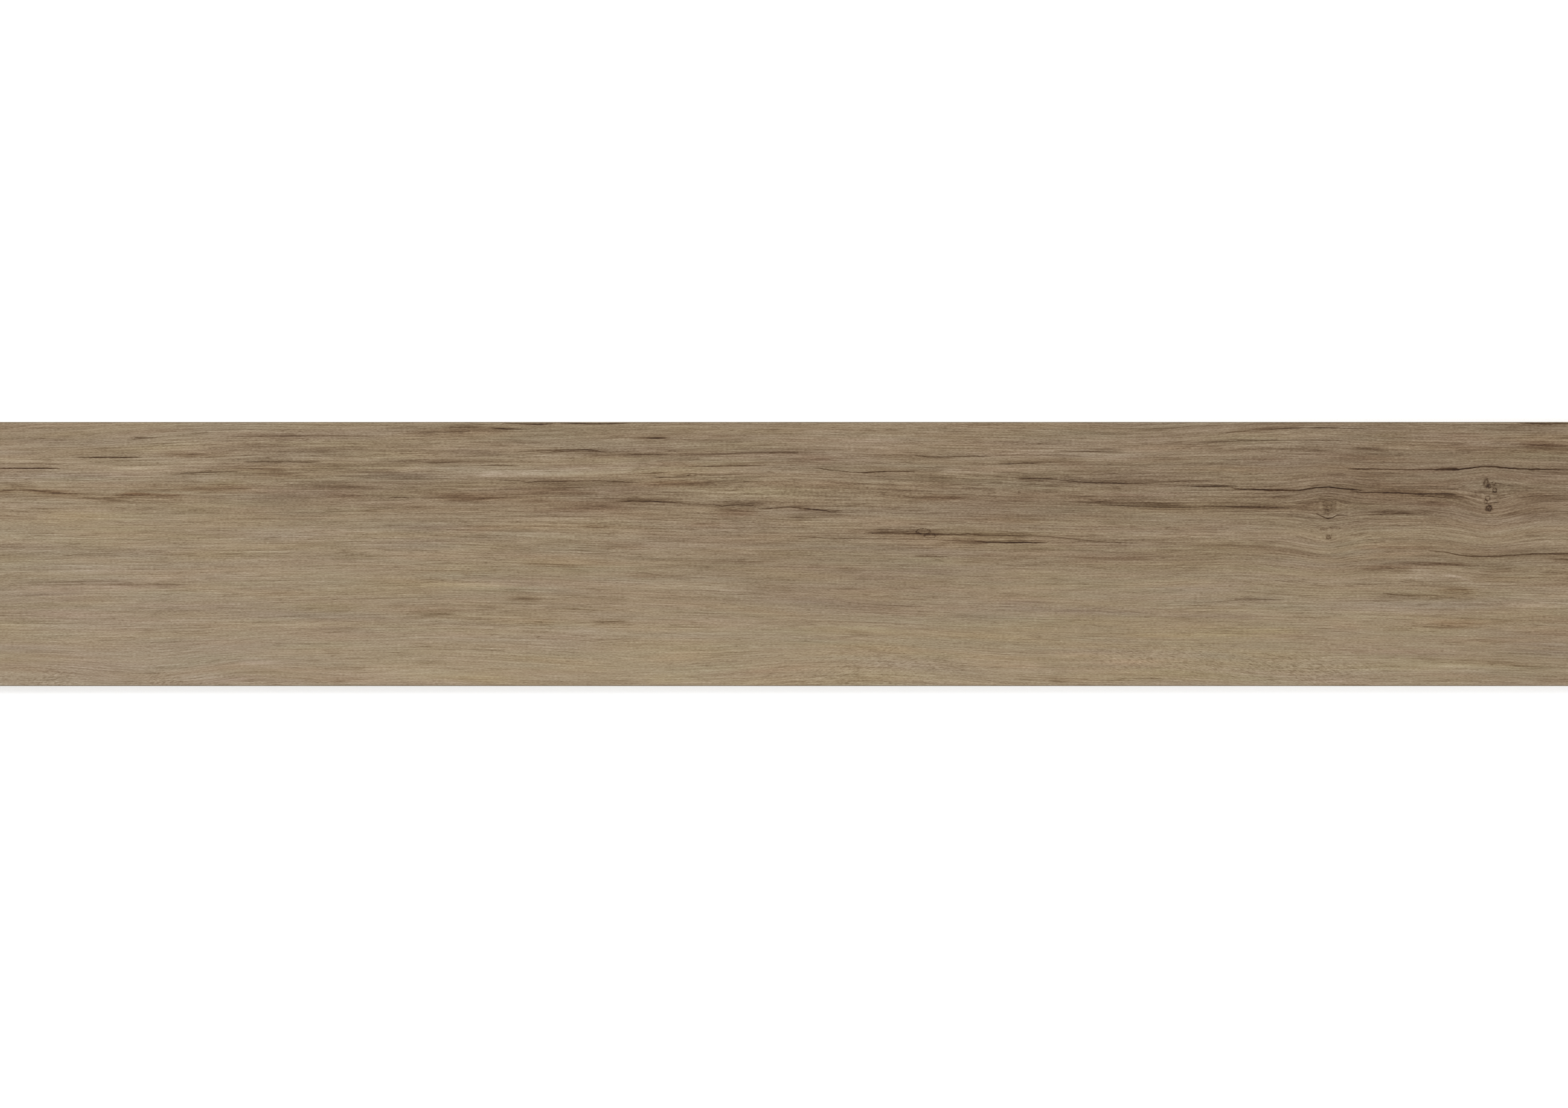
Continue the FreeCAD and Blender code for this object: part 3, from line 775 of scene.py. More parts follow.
def drawGrain(x, y, label):
    # the part of the grain that the mesh is fine enough for, and how calm it is at each point
    grain = np.zeros_like(x)
    for seed, reachX, reachY, amount in facePrint["mediumGrain"]:
        part = fieldAt(grainField(seed, reachX, reachY), x, label)
        grain += amount * (part - facePrint["mediumSkew"] * (part * part - 1))
    dash = grainOf("dashGrain", x, label)
    grain -= facePrint["dashes"] * np.clip(dash - facePrint["dashStart"], 0, 2)
    calm = facePrint["lowerHalfCalm"] * smoothStep(-y / 20)
    for *place, amount in calmPlaces:
        calm += amount * nearTo(place, x, y)
    calm = np.minimum(calm, facePrint["calmLimit"])
    return grain * (1 - calm), calm


def drawCracks(x, y):
    # for each point: how many half widths away the crack is that counts most there, how dark that
    # crack is, and how deep the grooves are
    crackOffset = np.full_like(x, 9.0)
    crackDark = np.zeros_like(x)
    groove = np.zeros_like(x)
    strongest = np.zeros_like(x)
    for points, halfWidth, dark in cracks:
        centre, strength = alongLine(points, x, facePrint["crackFade"])
        offset = y - centre
        weight = dark * strength * np.exp(-np.abs(offset) / 0.6)
        closer = weight > strongest
        strongest[closer] = weight[closer]
        crackOffset[closer] = (offset / (halfWidth * (0.45 + 0.55 * strength)))[closer]
        within = smoothStep((facePrint["crackReach"] - np.abs(offset)) / facePrint["crackEdge"])
        crackDark[closer] = (dark * np.sqrt(strength) * within)[closer]
        sunk = dark * strength * np.exp(-((offset / facePrint["grooveReach"]) ** 2))
        groove = np.maximum(groove, sunk)
    return crackOffset, crackDark, groove


def drawFace(x, y):
    # everything that the print and the relief need at each point of the face
    lift = liftOfGrain(x, y)
    label = y - lift  # stays the same along a line of the grain
    lightness, shade, red, yellow = drawTones(x, y, label)
    grain, calm = drawGrain(x, y, label)
    lightness += grain
    crackOffset, crackDark, groove = drawCracks(x, y)
    fleck = sum(nearTo(place, x, y) for place in flecks)
    depth = facePrint["reliefDepth"] * np.clip(1.5 - grain / 4, 0, 4)
    depth += facePrint["crackDepth"] * groove
    values = dict(lift=lift, lightness=lightness / 255, shade=shade / 255, red=red, yellow=yellow,
                  crackOffset=crackOffset, crackDark=crackDark, fleck=fleck, calm=calm)
    return values, depth


mm = 0.001  # in metres
tiny = 1e-6  # in metres, less than any step in the shape
printSlot, sideSlot, backSlot = 0, 1, 2  # the order of the mesh's materials
plank = dict(
    halfLength=boxHigh[0] * 1000,
    halfWidth=boxHigh[1] * 1000,
    thickness=boxHigh[2] * 1000,
    faceBevel=0.6,
    backBevel=1.2,
    rimWidth=6,  # plain rim round the keying pattern of the back
    ribWidth=2.4,
    pocketColumns=37,
    pocketRows=6,
    pocketDepth=0.7,
    pocketCorner=3,
    mouthInset=0.2,  # the small rounding at a pocket's mouth
    mouthDrop=0.1,
    wallInset=0.5,  # the sloping wall below it
    rows=300,  # of the face's mesh, across the plank
    columnGap=5.7,
    knotColumnGap=1.7,
    knotStretches=[(396, 428), (514, 556)],
    gapGrowth=0.25,  # of the gap, for each mm away from a knot's stretch
)


def columnPlaces():
    # where the face's mesh columns stand: closer together at the knots, and one at the middle
    fine = np.linspace(-1, 1, 4001) * (plank["halfLength"] - plank["faceBevel"])
    gap = np.full_like(fine, plank["columnGap"])
    for start, end in plank["knotStretches"]:
        outside = np.maximum(0, np.maximum(start - fine, fine - end))
        gap = np.minimum(gap, plank["knotColumnGap"] + outside * plank["gapGrowth"])
    count = np.concatenate([[0], np.cumsum((fine[1] - fine[0]) / gap[1:])])
    columns = int(round(count[-1]))
    places = np.interp(np.linspace(0, count[-1], columns + 1), count, fine)
    places[np.abs(places).argmin()] = 0
    return places


def movedRing(bm, edges, inset, height):
    # extrudes an outline and sets its new edge lower down, that far in from the plank's sides
    halfLength, halfWidth = plank["halfLength"] - inset, plank["halfWidth"] - inset
    made = bmesh.ops.extrude_edge_only(bm, edges=edges)["geom"]
    verts = [item for item in made if isinstance(item, bmesh.types.BMVert)]
    edgeX = max(vert.co.x for vert in verts) - tiny
    edgeY = max(vert.co.y for vert in verts) - tiny
    for vert in verts:
        if abs(vert.co.x) > edgeX:
            vert.co.x = math.copysign(halfLength * mm, vert.co.x)
        if abs(vert.co.y) > edgeY:
            vert.co.y = math.copysign(halfWidth * mm, vert.co.y)
        vert.co.z = height * mm
    for item in made:
        if isinstance(item, bmesh.types.BMFace):
            item.material_index = sideSlot
    inRing = set(verts)
    return [item for item in made if isinstance(item, bmesh.types.BMEdge)
            and item.verts[0] in inRing and item.verts[1] in inRing]


def pocketSpots():
    # the pockets' length and width, and where each of them is
    columns, rows, rib = plank["pocketColumns"], plank["pocketRows"], plank["ribWidth"]
    roomX = 2 * (plank["halfLength"] - plank["backBevel"] - plank["rimWidth"])
    roomY = 2 * (plank["halfWidth"] - plank["backBevel"] - plank["rimWidth"])
    length = (roomX - (columns - 1) * rib) / columns
    width = (roomY - (rows - 1) * rib) / rows
    spots = [((column - (columns - 1) / 2) * (length + rib), (row - (rows - 1) / 2) * (width + rib))
             for column in range(columns) for row in range(rows)]
    return length, width, spots


def makeMouths(bm):
    # the mouth of one pocket with its corners cut, repeated at every spot
    length, width, spots = pocketSpots()
    made = bmesh.ops.create_grid(bm, x_segments=1, y_segments=1, size=0.5)["verts"]
    bmesh.ops.scale(bm, vec=(length * mm, width * mm, 1), verts=made)
    cut = bmesh.ops.bevel(bm, geom=made, offset=plank["pocketCorner"] * mm, affect="VERTICES",
                          segments=1, profile=0.5, material=-1)
    first = cut["verts"][0].link_faces[0]
    mouths = [first]
    for x, y in spots[1:]:
        copy = bmesh.ops.duplicate(bm, geom=[first])["geom"]
        face = [item for item in copy if isinstance(item, bmesh.types.BMFace)][0]
        bmesh.ops.translate(bm, vec=(x * mm, y * mm, 0), verts=face.verts[:])
        mouths.append(face)
    bmesh.ops.translate(bm, vec=(spots[0][0] * mm, spots[0][1] * mm, 0), verts=first.verts[:])
    for face in mouths:
        if face.normal.z > 0:
            face.normal_flip()
        face.material_index = backSlot
    return mouths


def makePlank():
    bm = bmesh.new()
    # the face: an even grid, whose columns are then set closer at the knots
    places = columnPlaces()
    columns = len(places) - 1
    bmesh.ops.create_grid(bm, x_segments=columns, y_segments=plank["rows"], size=0.5)
    faceHalfWidth = plank["halfWidth"] - plank["faceBevel"]
    for vert in bm.verts:
        vert.co.x = places[int(round((vert.co.x + 0.5) * columns))] * mm
        vert.co.y = vert.co.y * 2 * faceHalfWidth * mm
        vert.co.z = plank["thickness"] * mm

    # the ground bevel, the side and the slope to the back
    outline = [edge for edge in bm.edges if edge.is_boundary]
    outline = movedRing(bm, outline, 0, plank["thickness"] - plank["faceBevel"])
    outline = movedRing(bm, outline, 0, plank["backBevel"])
    outline = movedRing(bm, outline, plank["backBevel"], 0)

    # the back: the ribs and the rim between the pockets' mouths, and then the pockets
    pockets = makeMouths(bm)
    mouthEdges = [edge for face in pockets for edge in face.edges]
    filled = bmesh.ops.triangle_fill(bm, use_beauty=True, use_dissolve=False, normal=(0, 0, -1),
                                     edges=mouthEdges + outline)["geom"]
    for item in filled:
        if isinstance(item, bmesh.types.BMFace):
            item.material_index = backSlot
    drop = plank["mouthDrop"]
    for inset, depth in ((plank["mouthInset"], drop),
                         (plank["wallInset"], plank["pocketDepth"] - drop)):
        bmesh.ops.inset_individual(bm, faces=pockets, thickness=inset * mm, depth=-depth * mm)
    bmesh.ops.recalc_face_normals(bm, faces=bm.faces)

    mesh = bpy.data.meshes.new("plankTile")
    bm.to_mesh(mesh)
    openEdges = sum(1 for edge in bm.edges if not edge.is_manifold)
    bm.free()
    mesh.update()
    print("plank mesh: %d faces, %d open edges" % (len(mesh.polygons), openEdges))
    return mesh


def dressMesh(mesh):
    # relief and print of the face, kept as attributes of its points
    places = np.empty(len(mesh.vertices) * 3)
    mesh.vertices.foreach_get("co", places)
    places = places.reshape(-1, 3)
    onFace = places[:, 2] > plank["thickness"] * mm - tiny
    values, depth = drawFace(places[:, 0] * 1000, places[:, 1] * 1000)
    places[onFace, 2] -= depth[onFace] * mm
    mesh.vertices.foreach_set("co", places.ravel())
    for name, numbers in values.items():
        layer = mesh.attributes.new(name, "FLOAT", "POINT")
        layer.data.foreach_set("value", numbers.astype(np.float32))
    smooth = [poly.material_index == printSlot for poly in mesh.polygons]
    mesh.polygons.foreach_set("use_smooth", smooth)
    print("face drawn: lightness %.1f, spread %.1f" % (
        values["lightness"][onFace].mean() * 255, values["lightness"][onFace].std() * 255))


# The map for the baked colours, whose sides are 1 long: where each part lies on it
bakeMap = dict(
    left=0.004,
    width=0.992,
    faceHeight=0.392,
    leftHalf=0.604,  # the face is in two strips, its left half above its right half
    rightHalf=0.204,
    back=0.062,
    backHeight=0.134,
    farSide=0.046,
    nearSide=0.03,
    ends=0.014,
    secondEnd=0.504,
    endWidth=0.45,
    sideHeight=0.01,
)


def spotOnMap(normal, middle, along, across, up):
    left, width = bakeMap["left"], bakeMap["width"]
    if normal.z > 0.4 and middle.x < 0:
        return left + width * 2 * along, bakeMap["leftHalf"] + bakeMap["faceHeight"] * across
    if normal.z > 0.4:
        return (left + width * (2 * along - 1),
                bakeMap["rightHalf"] + bakeMap["faceHeight"] * across)
    if normal.z < -0.4:
        return left + width * along, bakeMap["back"] + bakeMap["backHeight"] * across
    if abs(normal.y) > 0.5:
        side = bakeMap["farSide"] if normal.y > 0 else bakeMap["nearSide"]
        return left + width * along, side + bakeMap["sideHeight"] * up
    start = left if normal.x > 0 else bakeMap["secondEnd"]
    return start + bakeMap["endWidth"] * across, bakeMap["ends"] + bakeMap["sideHeight"] * up


def layOutMap(mesh):
    layer = mesh.uv_layers.new(name="OFBake")
    halfLength, halfWidth = plank["halfLength"] * mm, plank["halfWidth"] * mm
    thickness = plank["thickness"] * mm
    for poly in mesh.polygons:
        normal, middle = poly.normal, poly.center
        for loop in poly.loop_indices:
            place = mesh.vertices[mesh.loops[loop].vertex_index].co
            along = (place.x + halfLength) / (2 * halfLength)
            across = (place.y + halfWidth) / (2 * halfWidth)
            spot = spotOnMap(normal, middle, along, across, place.z / thickness)
            layer.data[loop].uv = spot


# Helpers for the materials' nodes


def linearColour(red, green, blue):
    # a colour as a screen shows it, from 0 to 255, as the linear values that a socket takes
    def linear(value):
        value = value / 255
        return value / 12.92 if value <= 0.04045 else ((value + 0.055) / 1.055) ** 2.4
    return (linear(red), linear(green), linear(blue), 1)


def startMaterial(name):
    material = bpy.data.materials.new(name)
    material.use_nodes = True
    return material, material.node_tree, material.node_tree.nodes["Principled BSDF"]


def feed(tree, socket, value):
    if isinstance(value, bpy.types.NodeSocket):
        tree.links.new(value, socket)
    else:
        socket.default_value = value


def calc(tree, operation, *values):
    node = tree.nodes.new("ShaderNodeMath")
    node.operation = operation
    for socket, value in zip(node.inputs, values):
        feed(tree, socket, value)
    return node.outputs[0]


def times(tree, first, second):
    return calc(tree, "MULTIPLY", first, second)


def varied(tree, total, part, amount, middle=0.5):
    # the total, changed by how far the part is from its middle value
    return calc(tree, "MULTIPLY_ADD", calc(tree, "SUBTRACT", part, middle), amount, total)


def vectorCalc(tree, operation, *values):
    node = tree.nodes.new("ShaderNodeVectorMath")
    node.operation = operation
    for socket, value in zip(node.inputs, values):
        feed(tree, socket, value)
    return node.outputs["Value" if operation == "LENGTH" else "Vector"]


def joined(tree, x, y):
    node = tree.nodes.new("ShaderNodeCombineXYZ")
    feed(tree, node.inputs["X"], x)
    feed(tree, node.inputs["Y"], y)
    return node.outputs[0]


def splitUp(tree, vector):
    node = tree.nodes.new("ShaderNodeSeparateXYZ")
    feed(tree, node.inputs[0], vector)
    return node.outputs["X"], node.outputs["Y"], node.outputs["Z"]


def attribute(tree, name):
    node = tree.nodes.new("ShaderNodeAttribute")
    node.attribute_name = name
    return node.outputs["Fac"]


def placeInMillimetres(tree):
    coordinates = tree.nodes.new("ShaderNodeTexCoord")
    return vectorCalc(tree, "MULTIPLY", coordinates.outputs["Object"], (1000, 1000, 1000))


def noiseAt(tree, place, reach, detail, roughness, seed):
    # noise whose features are about as large as reach, in mm
    scaled = vectorCalc(tree, "MULTIPLY_ADD", place, tuple(1 / size for size in reach),
                        (seed * 7.3, seed * 3.1, seed * 5.7))
    node = tree.nodes.new("ShaderNodeTexNoise")
    node.inputs["Scale"].default_value = 1
    node.inputs["Detail"].default_value = detail
    node.inputs["Roughness"].default_value = roughness
    feed(tree, node.inputs["Vector"], scaled)
    return node.outputs["Fac"]


def ranged(tree, value, fromLow, fromHigh, toLow, toHigh, kind="LINEAR"):
    node = tree.nodes.new("ShaderNodeMapRange")
    node.interpolation_type = kind
    for name, number in (("Value", value), ("From Min", fromLow), ("From Max", fromHigh),
                         ("To Min", toLow), ("To Max", toHigh)):
        feed(tree, node.inputs[name], number)
    return node.outputs[0]


def rampOf(tree, value, stops):
    node = tree.nodes.new("ShaderNodeValToRGB")
    elements = node.color_ramp.elements
    while len(elements) < len(stops):
        elements.new(0.5)
    for element, (position, colour) in zip(elements, stops):
        element.position = position
        element.color = linearColour(*colour)
    feed(tree, node.inputs["Fac"], value)
    return node.outputs["Color"]


def mixed(tree, share, first, second):
    node = tree.nodes.new("ShaderNodeMix")
    node.data_type = "RGBA"
    for number, value in ((0, share), (6, first), (7, second)):  # the node's sockets for a colour
        feed(tree, node.inputs[number], value)
    return node.outputs[2]


def setBump(tree, surface, height, strength, distance):
    node = tree.nodes.new("ShaderNodeBump")
    node.inputs["Strength"].default_value = strength
    node.inputs["Distance"].default_value = distance
    feed(tree, node.inputs["Height"], height)
    feed(tree, surface.inputs["Normal"], node.outputs["Normal"])


woodTones = [  # lightness, and the colour of the print at it
    (0.12, (38, 18, 2)),
    (0.22, (66, 43.5, 19.5)),
    (0.31, (90.7, 70.7, 47.7)),
    (0.41, (116.3, 96.6, 72)),
    (0.50, (141.1, 122.7, 97.3)),
    (0.58, (161.5, 144.2, 119.4)),
    (0.70, (192.7, 175.4, 153.9)),
]
printNoise = dict(  # reach, detail, roughness and seed
    slide=((900, 2.6, 1), 1, 0.5, 9),
    threads=((56, 0.95, 1), 1, 0.6, 2),
    fibres=((10.5, 0.5, 1), 3, 0.62, 1),
    lines=((50, 2.2, 1), 2, 0.55, 8),
    linePatches=((70, 6, 1), 2, 0.5, 14),
    grit=((2.2, 0.42, 1), 1, 0.5, 10),
    waveDrift=((55, 4.5, 1), 2, 0.5, 11),
    wavePatches=((24, 3, 1), 1, 0.5, 12),
    pores=((4.5, 0.42, 1), 1, 0.5, 3),
    porePatches=((60, 7, 1), 1, 0.5, 4),
    ripples=((3, 0.62, 1), 1, 0.5, 5),
    crackWaver=((7, 3, 1), 2, 0.6, 6),
    knotSpeckle=((0.9, 0.9, 1), 2, 0.6, 7),
)
printParts = dict(  # each part's middle value, and how much the part changes the lightness
    fibres=(0.5, -0.27),
    bands=(0, -0.055),
    grit=(0.5, 0.26),
    ripples=(0, -0.085),
    wave=(0, 0.026),
    thinLines=(0.1, -0.1),
    pores=(0.05, -0.12),
)
longestSlide = 90
waveSpacing = 1.9
rippleRidge = 185  # the x at which the ripples turn from one lean to the other
rippleLean = 0.26


def grainParts(tree, x, label, calm):
    flow = joined(tree, x, label)
    # each line of the grain is slid along by its own amount, so that no two fibres end together
    slide = varied(tree, 0.0, noiseAt(tree, flow, *printNoise["slide"]), longestSlide)
    slid = vectorCalc(tree, "ADD", flow, joined(tree, slide, 0.0))

    threads = noiseAt(tree, slid, *printNoise["threads"])
    bands = calc(tree, "SUBTRACT", ranged(tree, threads, 0.4, 0.6, 0, 1, "SMOOTHSTEP"), 0.5)
    bands = times(tree, bands, calc(tree, "MULTIPLY_ADD", calm, -0.7, 1))
    fibres = noiseAt(tree, slid, *printNoise["fibres"])
    grit = noiseAt(tree, flow, *printNoise["grit"])

    # thin dark lines, where a noise crosses its middle
    lines = calc(tree, "SUBTRACT", noiseAt(tree, slid, *printNoise["lines"]), 0.5)
    thinLines = ranged(tree, calc(tree, "ABSOLUTE", lines), 0.0, 0.035, 1, 0)
    patches = ranged(tree, noiseAt(tree, flow, *printNoise["linePatches"]), 0.38, 0.62, 0.1, 1)
    thinLines = times(tree, thinLines, patches)

    # the even lines of the grain: a wave across it, whose spacing drifts
    drift = times(tree, noiseAt(tree, flow, *printNoise["waveDrift"]), 14)
    wave = calc(tree, "SINE", calc(tree, "MULTIPLY_ADD", label, 2 * math.pi / waveSpacing, drift))
    patches = ranged(tree, noiseAt(tree, flow, *printNoise["wavePatches"]), 0.35, 0.6, 0.2, 1)
    wave = times(tree, wave, patches)

    # short pores
    pores = ranged(tree, noiseAt(tree, slid, *printNoise["pores"]), 0.62, 0.74, 0, 1)
    patches = ranged(tree, noiseAt(tree, flow, *printNoise["porePatches"]), 0.4, 0.62, 0.2, 1)
    pores = times(tree, pores, patches)

    # the ripples of the silver fleck
    fromRidge = calc(tree, "ABSOLUTE", calc(tree, "SUBTRACT", x, rippleRidge))
    leaning = joined(tree, x, calc(tree, "MULTIPLY_ADD", fromRidge, rippleLean, label))
    ripples = ranged(tree, noiseAt(tree, leaning, *printNoise["ripples"]), 0.5, 0.62, -0.3, 1)
    ripples = times(tree, ripples, attribute(tree, "fleck"))
    return dict(threads=threads, bands=bands, fibres=fibres, grit=grit, thinLines=thinLines,
                wave=wave, pores=pores, ripples=ripples)


def crackShare(tree, place):
    # the mesh gives how many half widths each point is from the nearest crack
    waver = varied(tree, 0.0, noiseAt(tree, place, *printNoise["crackWaver"]), 2.4)
    away = calc(tree, "ABSOLUTE", calc(tree, "ADD", attribute(tree, "crackOffset"), waver))
    crack = ranged(tree, away, 0.4, 1.5, 1, 0, "SMOOTHSTEP")
    return times(tree, crack, attribute(tree, "crackDark"))


def knotShade(tree, place, knot):
    # how much a knot's ring and its inside darken each point
    x, y, radius, stretch, ringWidth, ringDark, insideDark = knot
    away = vectorCalc(tree, "SUBTRACT", place, (x, y, 0))
    away = vectorCalc(tree, "MULTIPLY", away, (1, 1 / stretch, 0))
    distance = vectorCalc(tree, "LENGTH", away)
    ring = calc(tree, "DIVIDE", calc(tree, "SUBTRACT", distance, radius), ringWidth)
    ring = calc(tree, "POWER", 2.718, times(tree, times(tree, ring, ring), -1.0))
    inside = ranged(tree, distance, 0, radius * 1.2, insideDark, 0, "SMOOTHSTEP")
    return calc(tree, "MULTIPLY_ADD", ring, ringDark, inside)


def allKnots(tree, place):
    # the rings are drawn a little bent, and speckled
    blot = tree.nodes.new("ShaderNodeTexNoise")
    blot.inputs["Scale"].default_value = 0.7
    feed(tree, blot.inputs["Vector"], place)
    bend = vectorCalc(tree, "SUBTRACT", blot.outputs["Color"], (0.5, 0.5, 0.5))
    bent = vectorCalc(tree, "MULTIPLY_ADD", bend, (2.2, 2.2, 0), place)
    knotDark = 0.0
    for knot in knots:
        knotDark = calc(tree, "ADD", knotShade(tree, bent, knot), knotDark)
    speckle = noiseAt(tree, place, *printNoise["knotSpeckle"])
    return times(tree, knotDark, ranged(tree, speckle, 0.35, 0.6, 0.6, 1.9))


def printedFace():
    material, tree, surface = startMaterial("printedFace")
    place = placeInMillimetres(tree)
    x, y, _ = splitUp(tree, place)
    label = calc(tree, "SUBTRACT", y, attribute(tree, "lift"))
    calm = attribute(tree, "calm")
    parts = grainParts(tree, x, label, calm)
    fibres, threads = parts["fibres"], parts["threads"]
    crack = crackShare(tree, place)

    # a dark streak is a bundle of dark fibres
    bundle = calc(tree, "ADD", times(tree, fibres, 0.45), times(tree, threads, 0.55))
    bundle = ranged(tree, bundle, 0.4, 0.6, 0.2, 1.8)
    lightness, shade = attribute(tree, "lightness"), attribute(tree, "shade")
    tone = calc(tree, "MULTIPLY_ADD", shade, bundle, lightness)
    texture = 0.0
    for name, (middle, amount) in printParts.items():
        texture = varied(tree, texture, parts[name], amount, middle)
    contrast = ranged(tree, label, -80, 65, 0.94, 1.03)  # the upper half is the rougher
    contrast = times(tree, contrast, calc(tree, "MULTIPLY_ADD", calm, -0.15, 1))
    tone = calc(tree, "MULTIPLY_ADD", texture, contrast, tone)
    tone = calc(tree, "MULTIPLY_ADD", crack, -0.27, tone)
    tone = calc(tree, "MULTIPLY_ADD", allKnots(tree, place), -1 / 255, tone)
    colour = rampOf(tree, tone, woodTones)

    # a redder, a yellower or a mauve cast
    yellow, red = attribute(tree, "yellow"), attribute(tree, "red")
    cast = vectorCalc(tree, "MULTIPLY_ADD", yellow, (0.004, 0.004, -0.06), (1, 1, 1))
    cast = vectorCalc(tree, "MULTIPLY_ADD", red, (0.024, -0.018, -0.03), cast)
    colour = vectorCalc(tree, "MULTIPLY", colour, cast)
    feed(tree, surface.inputs["Base Color"], colour)
    surface.inputs["Specular IOR Level"].default_value = 0.3

    height = calc(tree, "MULTIPLY_ADD", crack, -1.6, fibres)
    height = calc(tree, "MULTIPLY_ADD", parts["pores"], -0.6, height)
    setBump(tree, surface, height, 0.5, 0.00012)
    satin = calc(tree, "MULTIPLY_ADD", threads, -0.16, 0.70)
    feed(tree, surface.inputs["Roughness"], calc(tree, "MULTIPLY_ADD", crack, 0.2, satin))
    return material


# The fired body at the sides and the back
body = dict(
    sideTones=[(0.2, (158, 146, 128)), (0.5, (178, 167, 149)), (0.8, (196, 186, 170))],
    edgeLineTones=[(0.2, (88, 74, 58)), (0.5, (112, 96, 77)), (0.8, (130, 113, 92))],
    edgeLineEnd=0.5,  # how far down the dark line at the top of the side reaches, and down to where it is at full strength
    edgeLineFull=0.38,
    backTones=[(0.2, (150, 136, 117)), (0.5, (170, 157, 138)), (0.8, (186, 175, 157))],
    powder=(214, 208, 197),
)


def groundSide():
    material, tree, surface = startMaterial("groundSide")
    place = placeInMillimetres(tree)
    _, _, z = splitUp(tree, place)
    speckle = noiseAt(tree, place, (0.7, 0.7, 0.7), 3, 0.6, 1)
    cloud = noiseAt(tree, place, (60, 60, 12), 2, 0.5, 2)
    scratches = noiseAt(tree, place, (34, 34, 0.16), 2, 0.5, 3)
    tone = varied(tree, 0.5, speckle, 0.5)
    tone = varied(tree, tone, cloud, 0.35)
    tone = varied(tree, tone, scratches, 0.4)
    # the top of the side, along the face's ground bevel, is drawn as a thin dark line
    onEdgeLine = ranged(tree, varied(tree, z, cloud, 0.3), plank["thickness"] - body["edgeLineEnd"],
                    plank["thickness"] - body["edgeLineFull"], 0, 1)
    colour = mixed(tree, onEdgeLine, rampOf(tree, tone, body["sideTones"]),
                   rampOf(tree, tone, body["edgeLineTones"]))
    feed(tree, surface.inputs["Base Color"], colour)
    feed(tree, surface.inputs["Roughness"], calc(tree, "MULTIPLY_ADD", scratches, 0.2, 0.6))
    setBump(tree, surface, calc(tree, "MULTIPLY_ADD", speckle, 0.5, scratches), 0.4, 0.0001)
    return material


def pressedBack():
    material, tree, surface = startMaterial("pressedBack")
    place = placeInMillimetres(tree)
    _, _, z = splitUp(tree, place)
    speckle = noiseAt(tree, place, (0.8, 0.8, 0.8), 3, 0.6, 1)
    cloud = noiseAt(tree, place, (70, 40, 20), 3, 0.55, 2)
    powder = noiseAt(tree, place, (9, 9, 9), 4, 0.65, 3)
    tone = varied(tree, 0.5, speckle, 0.5)
    tone = varied(tree, tone, cloud, 0.6)
    # the press powder lies thickest on the ribs
    onRibs = ranged(tree, z, 0.05, 0.35, 0.75, 0.3)
    washed = times(tree, ranged(tree, powder, 0.38, 0.66, 0, 1), onRibs)
    colour = mixed(tree, washed, rampOf(tree, tone, body["backTones"]),
                   linearColour(*body["powder"]))
    feed(tree, surface.inputs["Base Color"], colour)
    feed(tree, surface.inputs["Roughness"], calc(tree, "MULTIPLY_ADD", powder, 0.15, 0.78))
    setBump(tree, surface, calc(tree, "MULTIPLY_ADD", powder, 0.6, speckle), 0.5, 0.00015)
    return material


def addToScene(name, data):
    thing = bpy.data.objects.new(name, data)
    bpy.context.scene.collection.objects.link(thing)
    return thing


mesh = makePlank()
dressMesh(mesh)
layOutMap(mesh)
tile = addToScene("plankTile", mesh)
for material in (printedFace(), groundSide(), pressedBack()):
    mesh.materials.append(material)
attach(tile, "root")
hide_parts("plank_tile")
print("tile dressed")

# Floor, light and camera
studio = dict(
    floorHalfSize=30,
    floorHeight=-0.0001,
    floorWhite=0.8,
    floorGlow=0.36,  # seen directly or mirrored, and no light on the tile
    clearReach=0.0015,  # light that starts closer than this to the floor passes through it
    skyLevel=0.62,
    # name, place, size and power
    lamps=[("keyLamp", (-1.6, 2.0, 2.6), 1.6, 62), ("fillLamp", (2.0, -1.6, 2.4), 2.2, 26)],
    viewWidth=1.1866,  # how much of the plank's length the picture takes in
    lens=150,
    sensorWidth=36,
)


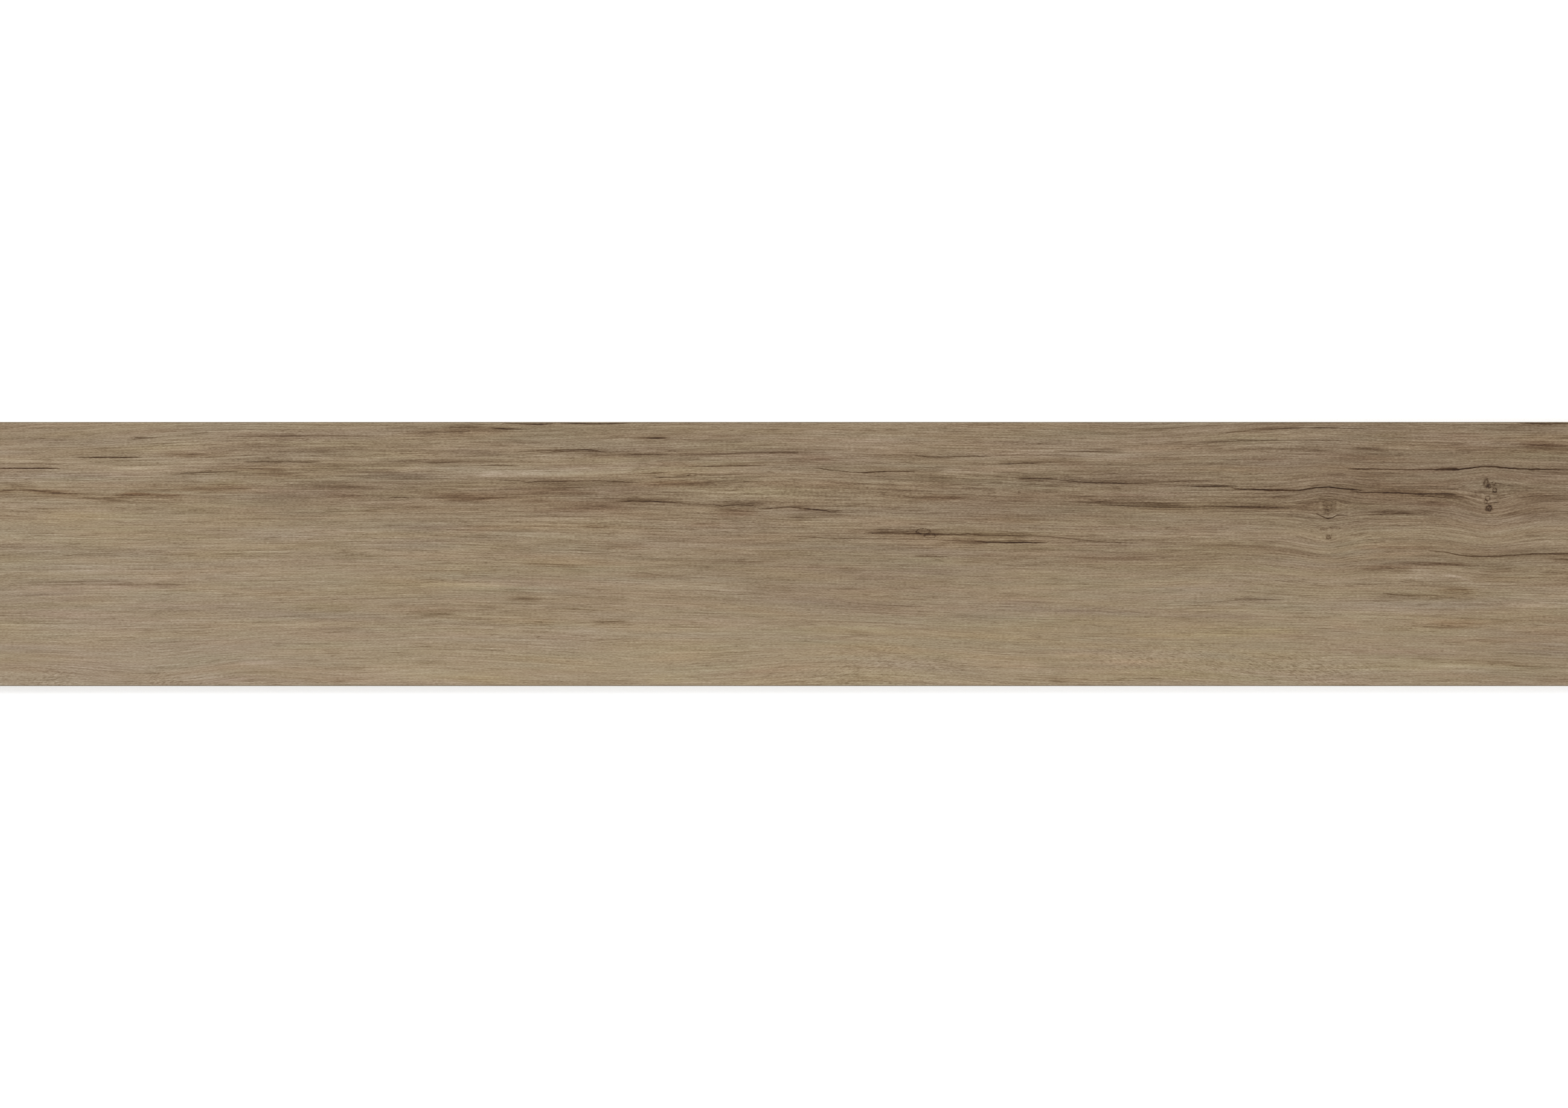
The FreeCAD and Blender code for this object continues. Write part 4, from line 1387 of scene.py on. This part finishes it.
def makeFloor():
    bm = bmesh.new()
    bmesh.ops.create_grid(bm, x_segments=1, y_segments=1, size=studio["floorHalfSize"])
    bmesh.ops.translate(bm, vec=(0, 0, studio["floorHeight"]), verts=bm.verts)
    floorMesh = bpy.data.meshes.new("floor")
    bm.to_mesh(floorMesh)
    bm.free()
    floor = addToScene("floor", floorMesh)
    material, tree, surface = startMaterial("paleFloor")
    surface.inputs["Base Color"].default_value = (studio["floorWhite"],) * 3 + (1,)
    surface.inputs["Roughness"].default_value = 0.9
    surface.inputs["Specular IOR Level"].default_value = 0
    surface.inputs["Emission Color"].default_value = (1, 1, 1, 1)
    rays = tree.nodes.new("ShaderNodeLightPath")
    seen = calc(tree, "MAXIMUM", rays.outputs["Is Camera Ray"], rays.outputs["Is Glossy Ray"])
    seen = calc(tree, "MAXIMUM", seen, rays.outputs["Is Transmission Ray"])
    feed(tree, surface.inputs["Emission Strength"], times(tree, seen, studio["floorGlow"]))
    # light passes through the floor from below, and right under the tile, so that the back can
    # be looked at
    geometry = tree.nodes.new("ShaderNodeNewGeometry")
    close = calc(tree, "LESS_THAN", rays.outputs["Ray Length"], studio["clearReach"])
    seeThrough = calc(tree, "MAXIMUM", geometry.outputs["Backfacing"], close)
    clear = tree.nodes.new("ShaderNodeBsdfTransparent")
    mix = tree.nodes.new("ShaderNodeMixShader")
    for socket, value in zip(mix.inputs, (seeThrough, surface.outputs[0], clear.outputs[0])):
        feed(tree, socket, value)
    feed(tree, tree.nodes["Material Output"].inputs["Surface"], mix.outputs[0])
    floorMesh.materials.append(material)


def makeLight():
    world = bpy.data.worlds.new("studio")
    bpy.context.scene.world = world
    world.use_nodes = True
    tree = world.node_tree
    background = tree.nodes["Background"]
    background.inputs["Color"].default_value = (1, 1, 1, 1)
    rays = tree.nodes.new("ShaderNodeLightPath")
    seen = calc(tree, "MAXIMUM", rays.outputs["Is Camera Ray"], rays.outputs["Is Transmission Ray"])
    level = calc(tree, "MULTIPLY_ADD", seen, 1 - studio["skyLevel"], studio["skyLevel"])
    feed(tree, background.inputs["Strength"], level)
    for name, spot, size, power in studio["lamps"]:
        lamp = bpy.data.lights.new(name, "AREA")
        lamp.shape = "SQUARE"
        lamp.size = size
        lamp.energy = power
        holder = addToScene(name, lamp)
        holder.location = spot
        aim = -holder.location
        holder.rotation_euler = aim.to_track_quat("-Z", "Y").to_euler()


def makeCamera():
    camera = bpy.data.cameras.new("camera")
    camera.lens = studio["lens"]
    camera.sensor_width = studio["sensorWidth"]
    camera.sensor_fit = "HORIZONTAL"
    camera.clip_end = 100
    holder = addToScene("camera", camera)
    away = studio["viewWidth"] * camera.lens / camera.sensor_width
    holder.location = (0, 0, plank["thickness"] * mm + away)
    bpy.context.scene.camera = holder


makeFloor()
makeLight()
makeCamera()
bpy.context.scene.view_settings.view_transform = "Standard"
print("studio made")
